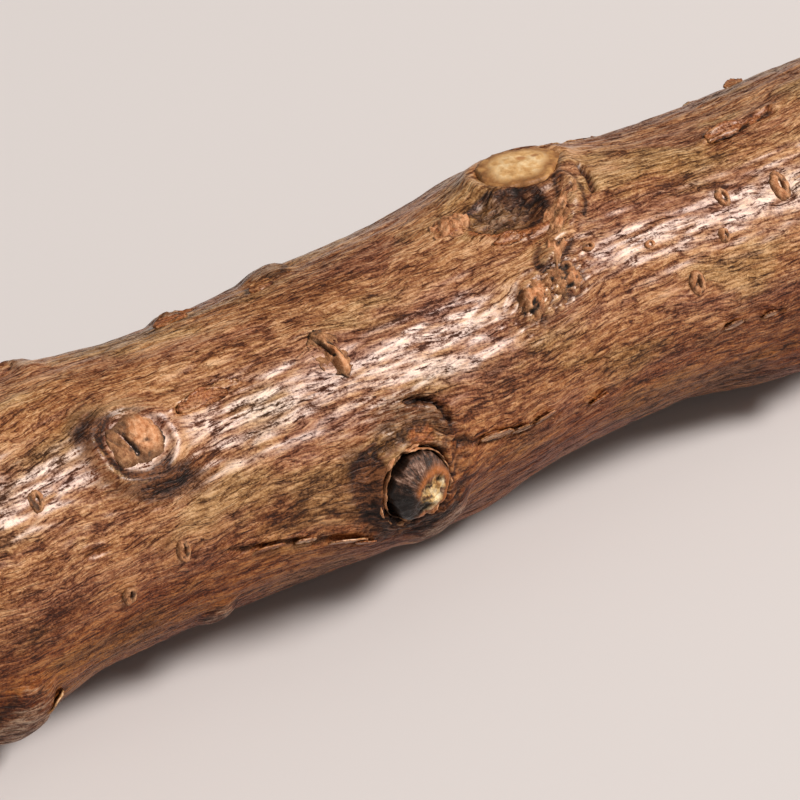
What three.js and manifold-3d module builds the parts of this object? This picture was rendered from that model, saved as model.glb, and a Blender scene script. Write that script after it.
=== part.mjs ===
// A fallen tree branch: one short length of wood in its bark, lying on the ground.
//
// The branch lies along X, thick butt end at -X and tip at +X, and +Z is up. It grew as one piece, so it is
// one closed solid. Both ends are snapped across the grain. Side twigs were lost from it long ago: one
// left a stub that stands out of its collar, one was pruned to a flat oval face, and the others healed
// over as low swellings. Three of the swellings underneath are what it rests on.
//
// Lengths are in millimetres. An angle goes round the branch's middle line: 0 faces -Y (the front),
// 90 is up, 180 faces +Y and 270 is down.
import * as THREE from "three";
import { mergeVertices } from "three/addons/utils/BufferGeometryUtils.js";
import Module from "manifold-3d";

// Driving dimensions.
const BUTT_X = -93;
const TIP_X = 92;
const SIDES = 54; // round the branch
const RINGS = 74; // along the bark
const END_RINGS = 5; // from the bark to the pith, on each broken end

// The middle line of the wood and its radius. The stem shifts a little at each old twig, as stems do.
const STATIONS = [
  { x: -104, y: 5.6, z: 3.4, radius: 14.6 },
  { x: -80, y: 3.0, z: 1.9, radius: 14.1 },
  { x: -60, y: 0.9, z: 0.7, radius: 13.8 },
  { x: -47, y: 0.0, z: 0.0, radius: 13.5 },
  { x: -35, y: 0.1, z: 0.1, radius: 13.0 },
  { x: -25, y: -0.3, z: -0.3, radius: 12.5 },
  { x: -15, y: -0.3, z: -0.4, radius: 12.7 },
  { x: -5, y: -0.1, z: -0.1, radius: 12.9 },
  { x: 5, y: 0.1, z: 0.2, radius: 12.9 },
  { x: 16, y: 0.5, z: 0.5, radius: 12.8 },
  { x: 25, y: 0.5, z: 0.5, radius: 12.5 },
  { x: 35, y: 0.3, z: 0.3, radius: 12.5 },
  { x: 47, y: 0.4, z: 0.1, radius: 12.9 },
  { x: 64, y: 1.6, z: 0.0, radius: 12.4 },
  { x: 82, y: 4.0, z: 0.5, radius: 12.0 },
  { x: 104, y: 7.2, z: 1.4, radius: 11.6 },
];

// Low swellings in the bark: how high, and the half-width along and round the branch where each has
// fallen to about a third. A high "flat" gives a plateau with steep sides in place of a round mound.
const SWELLINGS = [
  { x: -31.4, angle: 55, height: 0.7, along: 4.2, round: 4.2, flat: 2 }, // old leaf scar
  { x: -8.0, angle: 355, height: 1.5, along: 6.5, round: 8.5, flat: 1 }, // collar of the stub
  { x: 15.0, angle: 114, height: 1.4, along: 8.5, round: 8.0, flat: 1.3 }, // collar of the pruned twig
  { x: 7.4, angle: 50, height: 0.9, along: 2.2, round: 2.2, flat: 1 }, // pair of small buds
  { x: 11.6, angle: 47, height: 0.8, along: 2.0, round: 2.2, flat: 1 },
  { x: -9.2, angle: 131, height: 0.6, along: 1.8, round: 3.0, flat: 1 },
  { x: -45.0, angle: 306, height: 1.5, along: 4.6, round: 7.0, flat: 2.5 },
  { x: 37.0, angle: 306, height: 1.3, along: 6.5, round: 7.0, flat: 2 },
  { x: 60.0, angle: 205, height: 1.6, along: 5.0, round: 5.5, flat: 1 },
  { x: -58.0, angle: 165, height: 1.4, along: 5.5, round: 5.0, flat: 1 },
  { x: -69.0, angle: 40, height: 1.2, along: 5.0, round: 5.0, flat: 1 },
  { x: 71.0, angle: 75, height: 1.3, along: 5.0, round: 4.5, flat: 1 },
  // The three that touch the ground.
  { x: 2.4, angle: 291, height: 2.45, along: 4.2, round: 5.5, flat: 1.2 },
  { x: -70.0, angle: 250, height: 2.5, along: 6.5, round: 5.5, flat: 1.2 },
  { x: 68.0, angle: 252, height: 3.0, along: 6.0, round: 5.0, flat: 1.2 },
];

// What is left of two side twigs: a tapered peg that leans towards the tip, with a flat end.
const TWIGS = [
  { x: -8.2, angle: -2, lean: 12, radius: 2.9, standsOut: 16.4, stretch: 1.0 },
  { x: 16.2, angle: 110, lean: 4, radius: 2.6, standsOut: 14.3, stretch: 1.5 },
];
const TWIG_DEPTH = 6; // how far a peg goes into the wood
const TWIG_TAPER = 0.93;
const TWIG_SIDES = 20;

// How each end broke: the wood stands out furthest on one side and steps down in splinters to the other.
const BREAKS = {
  butt: { tongue: 8.0, towards: 100, teeth: 9, toothDepth: 2.2, heart: 1.6 },
  tip: { tongue: 6.0, towards: 215, teeth: 7, toothDepth: 1.8, heart: 1.2 },
};

// Wood is never quite round. How far the branch departs from a circle, and how many mm of length it takes
// for each of the two shapes to turn by one radian.
const OVAL = { height: 0.22, turnsOver: 31 };
const THREE_SIDED = { height: 0.16, turnsOver: 19 };

const wasm = await Module();
wasm.setup();

const radians = THREE.MathUtils.degToRad;

const middleLine = new THREE.CubicInterpolant(
  STATIONS.map((s) => s.x),
  STATIONS.flatMap((s) => [s.y, s.z, s.radius]),
  3,
  new Float64Array(3)
);

function lobes(x, angle) {
  const oval = OVAL.height * Math.sin(2 * angle + x / OVAL.turnsOver);
  const threeSided = THREE_SIDED.height * Math.sin(3 * angle - x / THREE_SIDED.turnsOver + 1);
  return oval + threeSided;
}

function swelling(s, x, angle, radius) {
  const turn = Math.atan2(Math.sin(angle - radians(s.angle)), Math.cos(angle - radians(s.angle)));
  const distance = Math.hypot((x - s.x) / s.along, (turn * radius) / s.round);
  return s.height * Math.exp(-Math.pow(distance, 2 * s.flat));
}

// The point that lies the given share of the way from the pith (0) to the bark (1).
function woodPoint(x, angle, share, target) {
  const [y, z, radius] = middleLine.evaluate(x);
  const bumps = SWELLINGS.reduce((sum, s) => sum + swelling(s, x, angle, radius), 0);
  const reach = share * (radius + lobes(x, angle) + bumps);
  return target.set(x, y - reach * Math.cos(angle), z + reach * Math.sin(angle));
}

// How far a broken end stands out at one place on it: a tongue on one side, and splinters like saw teeth.
function breakHeight(end, angle, share) {
  const side = Math.cos(angle - radians(end.towards));
  const tongue = end.tongue * 0.5 * share * side * (1 + 0.5 * side);
  const phase = (angle / (2 * Math.PI)) * end.teeth + 1.7 * share;
  const tooth = Math.abs((phase % 1) - 0.5) * 2 - 0.5;
  return tongue + tooth * end.toothDepth * share + end.heart * Math.cos(share * 7);
}

// A lathe blank from pith to pith: END_RINGS across each end and RINGS along the bark. Its radius is the
// share of the way out, and its height runs from -1 on the butt end to +1 on the tip end.
function latheBlank() {
  const profile = [];
  for (let i = 0; i < END_RINGS; i++) profile.push(new THREE.Vector2(i / END_RINGS, 1));
  for (let i = RINGS; i >= 0; i--) profile.push(new THREE.Vector2(1, (2 * i) / RINGS - 1));
  for (let i = END_RINGS - 1; i >= 0; i--) profile.push(new THREE.Vector2(i / END_RINGS, -1));
  return new THREE.LatheGeometry(profile, SIDES);
}

function closedMesh(geometry) {
  const bare = geometry.clone();
  bare.deleteAttribute("normal");
  bare.deleteAttribute("uv");
  return mergeVertices(bare, 1e-4);
}

function solid(geometry) {
  const merged = closedMesh(geometry);
  return new wasm.Manifold(
    new wasm.Mesh({
      numProp: 3,
      vertProperties: merged.attributes.position.array,
      triVerts: new Uint32Array(merged.index.array),
    })
  );
}

function stem() {
  const blank = closedMesh(latheBlank());
  const place = blank.attributes.position;
  const point = new THREE.Vector3();
  for (let i = 0; i < place.count; i++) {
    const share = Math.min(1, Math.hypot(place.getX(i), place.getZ(i)));
    const angle = share > 0 ? Math.atan2(place.getX(i), place.getZ(i)) : 0;
    const butt = BUTT_X - breakHeight(BREAKS.butt, angle, share);
    const tip = TIP_X + breakHeight(BREAKS.tip, angle, share);
    const x = THREE.MathUtils.lerp(butt, tip, (place.getY(i) + 1) / 2);
    woodPoint(x, angle, share, point);
    place.setXYZ(i, point.x, point.y, point.z);
  }
  return solid(blank);
}

function twig(t) {
  const angle = radians(t.angle);
  const foot = woodPoint(t.x, angle, 0, new THREE.Vector3());
  const outwards = new THREE.Vector3(Math.tan(radians(t.lean)), -Math.cos(angle), Math.sin(angle));
  outwards.normalize();
  const length = TWIG_DEPTH + t.standsOut - middleLine.evaluate(t.x)[2];
  const peg = new THREE.CylinderGeometry(t.radius * TWIG_TAPER, t.radius, length, TWIG_SIDES);
  peg.rotateZ(-Math.PI / 2); // its length along X
  peg.scale(1, 1, t.stretch);
  const alongBranch = new THREE.Vector3(1, 0, 0).addScaledVector(outwards, -outwards.x).normalize();
  const across = new THREE.Vector3().crossVectors(alongBranch, outwards);
  const middle = foot.addScaledVector(outwards, t.standsOut - length / 2);
  peg.applyMatrix4(new THREE.Matrix4().makeBasis(outwards, across, alongBranch).setPosition(middle));
  return solid(peg);
}

function geometryOf(shape) {
  const mesh = shape.getMesh();
  const geometry = new THREE.BufferGeometry();
  geometry.setAttribute("position", new THREE.BufferAttribute(new Float32Array(mesh.vertProperties), 3));
  geometry.setIndex(new THREE.BufferAttribute(new Uint32Array(mesh.triVerts), 1));
  return geometry;
}

// Lays the branch on the ground: lowest point at 0, and centred in X and Y.
function settle(geometry) {
  geometry.computeBoundingBox();
  const { min, max } = geometry.boundingBox;
  geometry.translate(-(min.x + max.x) / 2, -(min.y + max.y) / 2, -min.z);
  geometry.computeVertexNormals();
  return geometry;
}

const whole = TWIGS.reduce((wood, t) => wood.add(twig(t)), stem());
const bark = new THREE.MeshStandardMaterial({ color: 0x8a5c3a, roughness: 0.55, metalness: 0 });
const branch = new THREE.Mesh(settle(geometryOf(whole)), bark);
branch.name = "branch";

const model = new THREE.Group();
model.add(branch);
export default model;
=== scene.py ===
# %% [markdown]
# # A fallen tree branch
# The real thing is one length of wood in its bark, snapped at both ends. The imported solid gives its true
# size and its slow curves. Everything finer is added here: furrowed bark, the scars of lost twigs, corky
# lenticels, cracks, and the torn wood of both ends.
# All lengths below are in millimetres until a mesh is written, and an angle goes round the branch: 0
# faces the front (-Y), 90 is up and 180 faces the back.

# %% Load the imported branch
from math import pi, radians

import bpy
import numpy as np
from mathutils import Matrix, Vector, noise
from mathutils.bvhtree import BVHTree


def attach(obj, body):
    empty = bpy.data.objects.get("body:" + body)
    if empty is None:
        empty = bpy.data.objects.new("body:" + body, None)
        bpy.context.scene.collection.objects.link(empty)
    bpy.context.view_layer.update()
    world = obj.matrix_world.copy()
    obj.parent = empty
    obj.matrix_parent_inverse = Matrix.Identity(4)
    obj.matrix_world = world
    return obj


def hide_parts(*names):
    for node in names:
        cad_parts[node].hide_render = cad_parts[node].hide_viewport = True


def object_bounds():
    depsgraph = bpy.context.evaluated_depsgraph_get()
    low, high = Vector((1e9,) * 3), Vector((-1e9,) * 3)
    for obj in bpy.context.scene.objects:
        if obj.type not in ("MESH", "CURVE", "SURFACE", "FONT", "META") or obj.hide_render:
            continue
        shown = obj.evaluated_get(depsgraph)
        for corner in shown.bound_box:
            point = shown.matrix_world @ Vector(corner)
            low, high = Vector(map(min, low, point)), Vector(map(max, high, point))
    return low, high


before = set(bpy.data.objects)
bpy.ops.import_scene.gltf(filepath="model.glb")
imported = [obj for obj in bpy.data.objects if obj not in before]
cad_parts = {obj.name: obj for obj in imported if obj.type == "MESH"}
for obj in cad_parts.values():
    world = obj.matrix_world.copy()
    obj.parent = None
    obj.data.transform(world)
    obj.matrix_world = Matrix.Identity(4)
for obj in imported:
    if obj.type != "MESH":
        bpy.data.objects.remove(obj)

MM = 0.001
cad_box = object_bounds()
bpy.ops.object.select_all(action="DESELECT")
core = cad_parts["branch"]
print("packed branch, mm:", [[round(v / MM, 1) for v in corner] for corner in cad_box])

# %% [markdown]
# ## The slow shape
# The bark is grown onto the wood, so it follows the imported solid. A copy of the solid is welded and
# rounded, because the solid has flat facets. Then rays look out from its middle line in all directions:
# where they meet the copy gives how far the bark lies from the middle, in a table by place and angle.
# A table can be smoothed and asked for any point, which a mesh can't.

# %% A rounded copy of the solid
def only(piece):
    """Makes one object the active one and the only one selected."""
    bpy.ops.object.select_all(action="DESELECT")
    piece.select_set(True)
    bpy.context.view_layer.objects.active = piece


def applied(piece, kind, **settings):
    """Adds a modifier, sets it, and applies it at once."""
    only(piece)
    made = piece.modifiers.new(kind.lower(), kind)
    for name, value in settings.items():
        setattr(made, name, value)
    bpy.ops.object.modifier_apply(modifier=made.name)


rounded = core.copy()
rounded.data = core.data.copy()
rounded.parent = None
bpy.context.collection.objects.link(rounded)
only(rounded)
bpy.ops.object.mode_set(mode="EDIT")
bpy.ops.mesh.select_all(action="SELECT")
bpy.ops.mesh.remove_doubles(threshold=0.001 * MM)
bpy.ops.object.mode_set(mode="OBJECT")
applied(rounded, "SUBSURF", levels=1, render_levels=1)
surface = BVHTree.FromPolygons(
    [v.co / MM for v in rounded.data.vertices],
    [tuple(face.vertices) for face in rounded.data.polygons],
)
print("rounded copy:", len(rounded.data.polygons), "faces")
bpy.data.objects.remove(rounded)

# %% [markdown]
# ## The middle line, and how far out the bark lies
# A branch grows round a pith that wanders a little. The pith isn't in the solid, so it is found: rays look
# out from a first guess, the guess moves to the middle of what they meet, and after a few rounds it stays.
# The lengths of the last rays are the table. A curve drawn by hand would do too, but it would have to be
# drawn again whenever the solid changed.

# %% Middle line and reach
SOUND = 84  # the bark is whole from -84 to 84; past that the ends are broken
SLICE = 1.0  # mm between the rows of the table
TURN = 2.0  # degrees between its columns
ROUNDS = 4
slices = np.arange(-SOUND, SOUND + SLICE / 2, SLICE)
angles = np.radians(np.arange(0, 360, TURN))
outwards = [Vector((0, -np.cos(a), np.sin(a))) for a in angles]


def blurred(table, sigma):
    """A table smoothed along its first axis, with its end rows held."""
    span = int(3 * sigma) + 1
    weights = np.exp(-0.5 * (np.arange(-span, span + 1) / sigma) ** 2)
    held = np.concatenate([np.repeat(table[:1], span, 0), table, np.repeat(table[-1:], span, 0)])
    return sum(w * held[i:i + len(table)] for i, w in enumerate(weights / weights.sum()))


def smoothed(table, along, around):
    """A table smoothed both ways. Its columns go round the branch, so the last one meets the first."""
    wrapped = np.concatenate([table.T, table.T, table.T])
    return blurred(blurred(wrapped, around)[len(angles):2 * len(angles)].T, along)


def hits_from(middle):
    """Where rays from the middle line meet the bark, for every slice and angle."""
    found = []
    for x, (y, z) in zip(slices, middle):
        start = Vector((x, y, z))
        found.append([surface.ray_cast(start, way)[0] for way in outwards])
    return np.array(found)


middle = np.tile([0.0, cad_box[1].z / MM / 2], (len(slices), 1))
for _ in range(ROUNDS):
    middle = hits_from(middle)[:, :, 1:].mean(axis=1)
middle = blurred(middle, 3)
reach = np.linalg.norm(hits_from(middle)[:, :, 1:] - middle[:, None, :], axis=2)

# The pegs of the two lost twigs stand out of the solid. Their own pieces come later, so the sheet of
# bark passes under them: a point that stands far above its neighbourhood is brought down to it.
PEG_STEP = 0.45
calm = smoothed(reach, along=7, around=4)
reach = smoothed(np.minimum(reach, calm + PEG_STEP), along=2, around=1.2)
MEAN_REACH = float(reach.mean())
print("mean radius", round(MEAN_REACH, 2), "from", reach.min().round(2), "to", reach.max().round(2))


# %% [markdown]
# ## Any point on the bark
# Every piece below lies on this surface or stands out of it. One function gives the point at any place,
# angle and height, read from the table between its entries. A shrinkwrap modifier on each piece would do
# it too, but it needs a mesh to wrap to, and it can't reach under the surface. Past the sound bark the
# middle line runs on straight, because the broken ends mislead the rays.


# %% Any point on the bark
def middle_at(x):
    """The middle line at x, carried on in a straight line past the sound bark."""
    inner = np.clip(x, -SOUND, SOUND)
    ends = np.where(x < 0, 0, len(slices) - 11)
    slope = (middle[ends + 10] - middle[ends]) / (10 * SLICE)
    y = np.interp(inner, slices, middle[:, 0]) + (x - inner) * slope[..., 0]
    z = np.interp(inner, slices, middle[:, 1]) + (x - inner) * slope[..., 1]
    return y, z


def reach_at(x, angle):
    """How far the smooth bark lies from the middle line, read from the table between its entries."""
    row = (np.clip(x, -SOUND, SOUND - 0.001) + SOUND) / SLICE
    column = (np.degrees(angle) / TURN) % len(angles)
    i, j = row.astype(int), column.astype(int) % len(angles)
    k = (j + 1) % len(angles)
    down, right = row - i, column - np.floor(column)
    upper = reach[i, j] * (1 - right) + reach[i, k] * right
    lower = reach[i + 1, j] * (1 - right) + reach[i + 1, k] * right
    return upper * (1 - down) + lower * down


def bark_point(x, angle, height=0.0, share=1.0):
    """Points at a height over the smooth bark, or a share of the way out to it from the middle."""
    x, angle = np.broadcast_arrays(np.asarray(x, float), np.asarray(angle, float))
    y, z = middle_at(x)
    out = share * reach_at(x, angle) + height
    return np.stack([x, y - out * np.cos(angle), z + out * np.sin(angle)], axis=-1)


# %% [markdown]
# ## The sheet of bark
# Bark comes off a log as a sheet, so it is modelled as one: a flat grid, rolled round the middle line
# and welded where its long edges meet. Its rows and columns are closer where the bark carries the most
# detail, on the front and top between the two large knots, and wider behind. Both short edges turn in
# over the end of the wood, as the thickness of the bark, and close behind the torn wood.

# %% Rows along and columns round
BUTT, TIP = -90.0, 89.0
DETAIL_X = (-51, 56)
DETAIL_ANGLE = (-62, 142)
WIDE_ROW, CLOSE_ROW = 0.82, 0.36  # mm
WIDE_TURN, CLOSE_TURN = 2.8, 1.12  # degrees


def spaced(start, end, spacing):
    """Places from start to end whose spacing is a function of place."""
    fine = np.linspace(start, end, 4000)
    steps = np.concatenate([[0], np.cumsum((fine[1] - fine[0]) / spacing(fine[1:]))])
    count = int(round(steps[-1]))
    return np.interp(np.linspace(0, steps[-1], count + 1), steps, fine)


def within(value, low, high, edge):
    """1 between low and high, 0 outside, with soft edges."""
    rise = np.clip((value - low) / edge + 0.5, 0, 1)
    fall = np.clip((high - value) / edge + 0.5, 0, 1)
    return rise * rise * (3 - 2 * rise) * fall * fall * (3 - 2 * fall)


rows = spaced(BUTT, TIP, lambda x: WIDE_ROW - (WIDE_ROW - CLOSE_ROW) * within(x, *DETAIL_X, 8))
columns = spaced(-180, 180, lambda a: WIDE_TURN - (WIDE_TURN - CLOSE_TURN) * within(a, *DETAIL_ANGLE, 20))
columns[-1] = 180.0
# Past each rim the sheet turns in: how far inside the rim, and what share of the way out.
TURN_IN = [(3.5, 0.0), (3.5, 0.5), (3.5, 0.895), (1.2, 0.905), (0.25, 0.93), (0.0, 0.975)]
row_x = np.concatenate([[BUTT + d for d, _ in TURN_IN], rows, [TIP - d for d, _ in TURN_IN[::-1]]])
row_share = np.concatenate([[s for _, s in TURN_IN], np.ones(len(rows)), [s for _, s in TURN_IN[::-1]]])
print(len(row_x), "rows and", len(columns), "columns:", 2 * len(row_x) * len(columns), "triangles")

X = np.repeat(row_x, len(columns))
SHARE = np.repeat(row_share, len(columns))
ANGLE = np.radians(np.tile(columns, len(row_x)))


# %% [markdown]
# ## Grain that flows round the knots
# Bark fibres run along the branch and part round every old twig, as water parts round a stone. The
# pattern is drawn on straight grain, on a plain cylinder, and each point of the bark looks up the place
# on that cylinder which the flow has carried it from. The same places are kept on the mesh, so that the
# material's finer pattern bends in the same way.

# %% Knots that part the grain
PARTING = 0.72  # how strongly the grain gives way to a knot
KNOTS = [
    # x, angle, radius
    (-31.8, 55, 3.3),
    (-8.6, 5, 3.9),
    (14.6, 98, 4.2),
    (7.2, 47, 1.3),
    (11.0, 44, 1.2),
    (-12.0, 61, 1.2),
    (60.0, 205, 3.0),
    (-58.0, 165, 3.0),
    (-69.0, 40, 2.8),
    (71.0, 75, 2.6),
    (-30.8, 10, 0.9),
    (23.7, 26, 0.9),
    (35.5, 52, 1.0),
]


def near(x, angle):
    """How far every point of the sheet is from one place on it, in mm along and round."""
    turn = (ANGLE - radians(angle) + pi) % (2 * pi) - pi
    return X - x, turn * MEAN_REACH


flow = ANGLE + 0.05 * np.sin(X / 15) + 0.03 * np.sin(X / 6.1 + 2)
for x, angle, radius in KNOTS:
    along, across = near(x, angle)
    flow -= PARTING * across * radius**2 / (along**2 + across**2 + radius**2) / MEAN_REACH


def on_cylinder(x, angle):
    """Places on a plain cylinder as thick as the branch, on which patterns are drawn."""
    return np.stack([x, MEAN_REACH * np.cos(angle), MEAN_REACH * np.sin(angle)], axis=1)


GRAIN = on_cylinder(X, flow)
STRAIGHT = on_cylinder(X, ANGLE)
print("grain turned by up to", np.degrees(np.abs(flow - ANGLE)).max().round(1), "degrees")

# %% [markdown]
# ## Two kinds of noise
# Bark has soft patches, where one kind of surface fades into the next, and nets, where it has torn along
# lines. Fractal noise gives the patches. The net is where two cells of a Voronoi pattern meet. Both are
# worked out for each vertex, in place of a displace modifier, so that several can be added up and kept.


# %% Mottle and net
def mottle(along, across, seed, octaves=3):
    """Smooth noise from -1 to 1 over the bark, in patches of that size."""
    places = GRAIN / np.array([along, across, across]) + seed * 11.7
    return np.array([noise.fractal(p, 1.0, 2.0, octaves) for p in places.tolist()])


def net_at(points, along, across, seed):
    """0 on a net of lines drawn through the points, growing to 1 between them."""
    places = points / np.array([along, across, across]) + seed * 7.3
    nearest = np.array([noise.voronoi(p)[0][:2] for p in places.tolist()])
    return np.clip((nearest[:, 1] - nearest[:, 0]) / 0.35, 0, 1)


# %% [markdown]
# ## Relief of the bark
# Young bark stretches as the wood thickens, and tears into a net of fine furrows with narrow ridges
# between them. Here that is a furrow net, ridges of stretched noise, and broad patches where the bark
# stands thicker. Heights are a few tenths of a millimetre, as on the real branch.

# %% Furrows and ridges
patches = mottle(14, 4, 1)
ridges = mottle(6, 0.95, 2, octaves=2)
furrow_net = net_at(GRAIN, 5.5, 1.15, 3)
crumbs = mottle(1.6, 0.5, 4, octaves=2)
RELIEF = 0.17 * patches + 0.05 * ridges + 0.09 * (furrow_net - 1) + 0.03 * crumbs
print("relief of the plain bark, mm:", RELIEF.min().round(2), "to", RELIEF.max().round(2))

# %% [markdown]
# ## Marks that the material reads
# Dead bark changes colour where it is stained, worn, corky or torn to its rusty inner layer. Marks also
# paint shade: the dark mark in gaps, cracks and hollows and as shadow beside knots, the furrow mark a
# little in the furrows, and the underside mark. Each is a number from 0 to 1 for every vertex, filled in
# along with the relief, so that a crack's colour lies in the crack. Image masks could do it too, but they
# would need a layout of the surface, and files.

# %% Marks, all empty at first but two
FURROW = np.clip(1 - furrow_net, 0, 1)
DARK = np.zeros(len(X))  # dark brown: stains and rot, and painted shade in gaps, cracks and hollows, and painted shadow beside knots
RUST = np.zeros(len(X))  # bare inner bark
CORK = np.zeros(len(X))  # pale corky tissue
WORN = np.zeros(len(X))  # grey, weathered skin
# Painted shade on the underside, away from the lamps: its middle, how far it reaches, and how softly it
# ends.
SHADE_MIDDLE, SHADE_REACH, SHADE_FADE = -82, 92, 60
from_shaded_side = np.degrees(np.arccos(np.clip(np.cos(ANGLE - radians(SHADE_MIDDLE)), -1, 1)))
UNDERSIDE_SHADE = np.clip((SHADE_REACH - from_shaded_side - 9 * patches) / SHADE_FADE + 0.5, 0, 1)
print("damp share of the bark:", UNDERSIDE_SHADE.mean().round(2))

# %% [markdown]
# ## Tools for drawing on the bark
# Knots, cracks and scars are all hills, rings or lines on the sheet. Three small measures are enough for
# them: how high a hill stands at some distance, how far out a place lies in an oval, and how far it is
# from a line drawn through places. A ring is a hill about some distance from its middle.

# %% Hills, rings and lines
def hill(distance, size, steep=1.0):
    """1 at distance 0, falling to about a third at size. A steep hill has a flat top."""
    return np.exp(-np.abs(distance / size) ** (2 * steep))


def turned(p, q, degrees):
    """Places turned about the origin."""
    c, s = np.cos(radians(degrees)), np.sin(radians(degrees))
    return p * c - q * s, p * s + q * c


def oval(x, angle, half_along, half_round, turn=0.0):
    """Distance from a place, as a share of an oval's half-lengths; turn tilts the oval, in degrees."""
    along, across = turned(*near(x, angle), -turn)
    return np.hypot(along / half_along, across / half_round)


def line(places):
    """Distance of every point from a line through (x, angle) places, and its side: 1 on the left."""
    best = np.full(len(X), 1e9)
    side = np.ones(len(X))
    for (x0, a0), (x1, a1) in zip(places, places[1:]):
        along, across = near(x0, a0)
        run, climb = x1 - x0, radians(a1 - a0) * MEAN_REACH
        t = np.clip((along * run + across * climb) / (run**2 + climb**2), 0, 1)
        distance = np.hypot(along - t * run, across - t * climb)
        closer = distance < best
        best[closer] = distance[closer]
        side[closer] = np.sign(across * run - along * climb)[closer]
    return best, side


# %% [markdown]
# ## The twig stub's collar
# A side twig once stood here. The bark swelled into a collar round it, then drew back, so a gap rings
# the stub, painted black as shade, with a thin raised lip. Above it the bark folded over itself in
# wrinkles, and one fold lifted and split, its split painted dark as shade. Left of the stub the bark is
# painted nearly black as its shadow, the crackle round the collar is painted dark in its lines as shade,
# and below the stub the bark is darker.

# %% Collar, gap and wrinkles
STUB_X, STUB_ANGLE, STUB_RADIUS = -8.9, 3.0, 2.95
ripple = mottle(3, 2.2, 5, octaves=2)
from_stub = oval(STUB_X, STUB_ANGLE, 1, 1) + 0.35 * ripple
RELIEF += 0.35 * hill(from_stub - 3.75, 0.45)
RELIEF -= 2.6 * hill(from_stub, STUB_RADIUS, 5)
stub_crackle = net_at(STRAIGHT, 1.1, 0.75, 9)
RELIEF += 0.24 * (stub_crackle - 0.7) * hill(from_stub - 4.5, 1.6, 2)
# Painted shade: dark in the crackle's lines round the collar, and black in the gap.
DARK += 0.75 * (1 - stub_crackle) * hill(from_stub - 4.6, 1.7, 2)
DARK += hill(from_stub - 3.0, 0.35)
# Painted shadow of the stub, nearly black, on its left. The next patch, below the stub, is darker bark.
DARK += (1.2 + 0.5 * ripple) * hill(oval(-12.7, 7, 1.6, 3.9, 20) + 0.2 * crumbs, 1, 1.2)
DARK += 0.5 * hill(oval(-9.5, -14, 4.5, 1.6), 1, 1.3)
above = oval(-8.0, 26, 5.0, 3.4, -20)
RELIEF += 0.07 * np.sin(2 * pi * (from_stub + 0.7 * ripple) / 0.62) * hill(above, 1, 2)
WORN += 0.42 * hill(above, 1.0, 2)
lifted, side = line([(-7.9, 33), (-6.6, 32), (-5.4, 29), (-4.8, 25), (-4.5, 20)])
RELIEF += 0.6 * hill(lifted - 0.55, 0.5) * (side < 0) - 1.1 * hill(lifted, 0.27, 2)
# The split is painted dark: painted shade.
DARK += 1.6 * hill(lifted, 0.3, 2)
RUST += 0.9 * hill(oval(-7.6, 20, 1.5, 1.0), 1, 2)
print("the gap round the stub is", -RELIEF.min().round(1), "mm deep")

# %% [markdown]
# ## The pruned twig and its hollow
# On top a thicker twig was taken off flat, and its pale face still shows. Round it lies a roll of healing
# bark. Beside it the bark has rotted into a hollow with a rusty edge, dark from rot and from painted
# shade, and a cord of scaly bark runs down from it to a pair of corky bud scars.

# %% Healing roll and hollow
FACE_X, FACE_ANGLE = 15.3, 104.0
from_face = oval(FACE_X, FACE_ANGLE, 4.5, 3.5, 8) + 0.12 * ripple
RELIEF += 0.4 * hill(from_face - 1.12, 0.2)
RELIEF -= 0.9 * hill(from_face, 0.86, 4)
hollow = oval(10.6, 84, 3.9, 2.1, -14) + 0.25 * ripple
RELIEF -= (0.95 - 0.4 * stub_crackle) * hill(hollow, 1, 3)
# The hollow is darker, partly as rot and partly as painted shade in it, with a dark line round its edge.
DARK += (0.28 + 0.55 * (1 - stub_crackle) + 0.35 * ripple) * hill(hollow, 1.02, 3)
DARK += 0.8 * hill(hollow - 1.05, 0.1)
WORN += 0.5 * hill(hollow, 1, 3)
edge, side = line([(6.3, 82), (8.0, 76), (10.5, 71.5), (12.6, 71)])
RELIEF += 0.3 * hill(edge - 0.3, 0.35) * (side < 0)
RUST += 0.9 * hill(edge, 0.55)
RUST += 1.0 * hill(oval(5.2, 91, 1.5, 1.3), 1, 2)
RELIEF += 0.35 * hill(oval(5.2, 91, 1.4, 1.2), 1, 2)
print("vertices in the hollow:", int((hollow < 1).sum()))

# %% Seats of the scaly cord and of the bud scars
cord, _ = line([(17.2, 84), (16.2, 74), (14.6, 67), (12.2, 61), (10.4, 56)])
round_buds = hill(oval(9.1, 45.5, 4.7, 2.5, 10) + 0.3 * ripple, 1, 2)
RELIEF += 0.38 * (stub_crackle - 0.55) * round_buds
# The crackle's low lines round the buds are painted dark: painted shade.
DARK += 0.9 * (1 - stub_crackle) * round_buds
CORK += 0.6 * stub_crackle * round_buds
RELIEF += 0.5 * hill(cord, 0.9) * (1 + 0.8 * mottle(1.3, 1.1, 6, octaves=2))
CORK += 0.6 * hill(cord, 0.8) * (crumbs > 0)
# A dark line along the cord's foot: painted shade.
DARK += 0.8 * hill(cord - 1.15, 0.3) * (ripple > -0.3)
slit, _ = line([(19.9, 92), (19.6, 84), (18.9, 77)])
RELIEF -= 0.7 * hill(slit, 0.28, 2)
# The slit is painted dark: painted shade.
DARK += 1.2 * hill(slit, 0.3, 2)
print("vertices under the cord:", int((cord < 1).sum()))

# %% [markdown]
# ## The seat of the old leaf scar
# A leaf or bud broke off here and left a round seat, with a raised lip below and dark patches above and
# below it. A dark ring and halo round the seat are painted shadow, strongest at the lower left. A ring
# that stands out all round would look stamped, so the lip fades towards one side.

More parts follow.
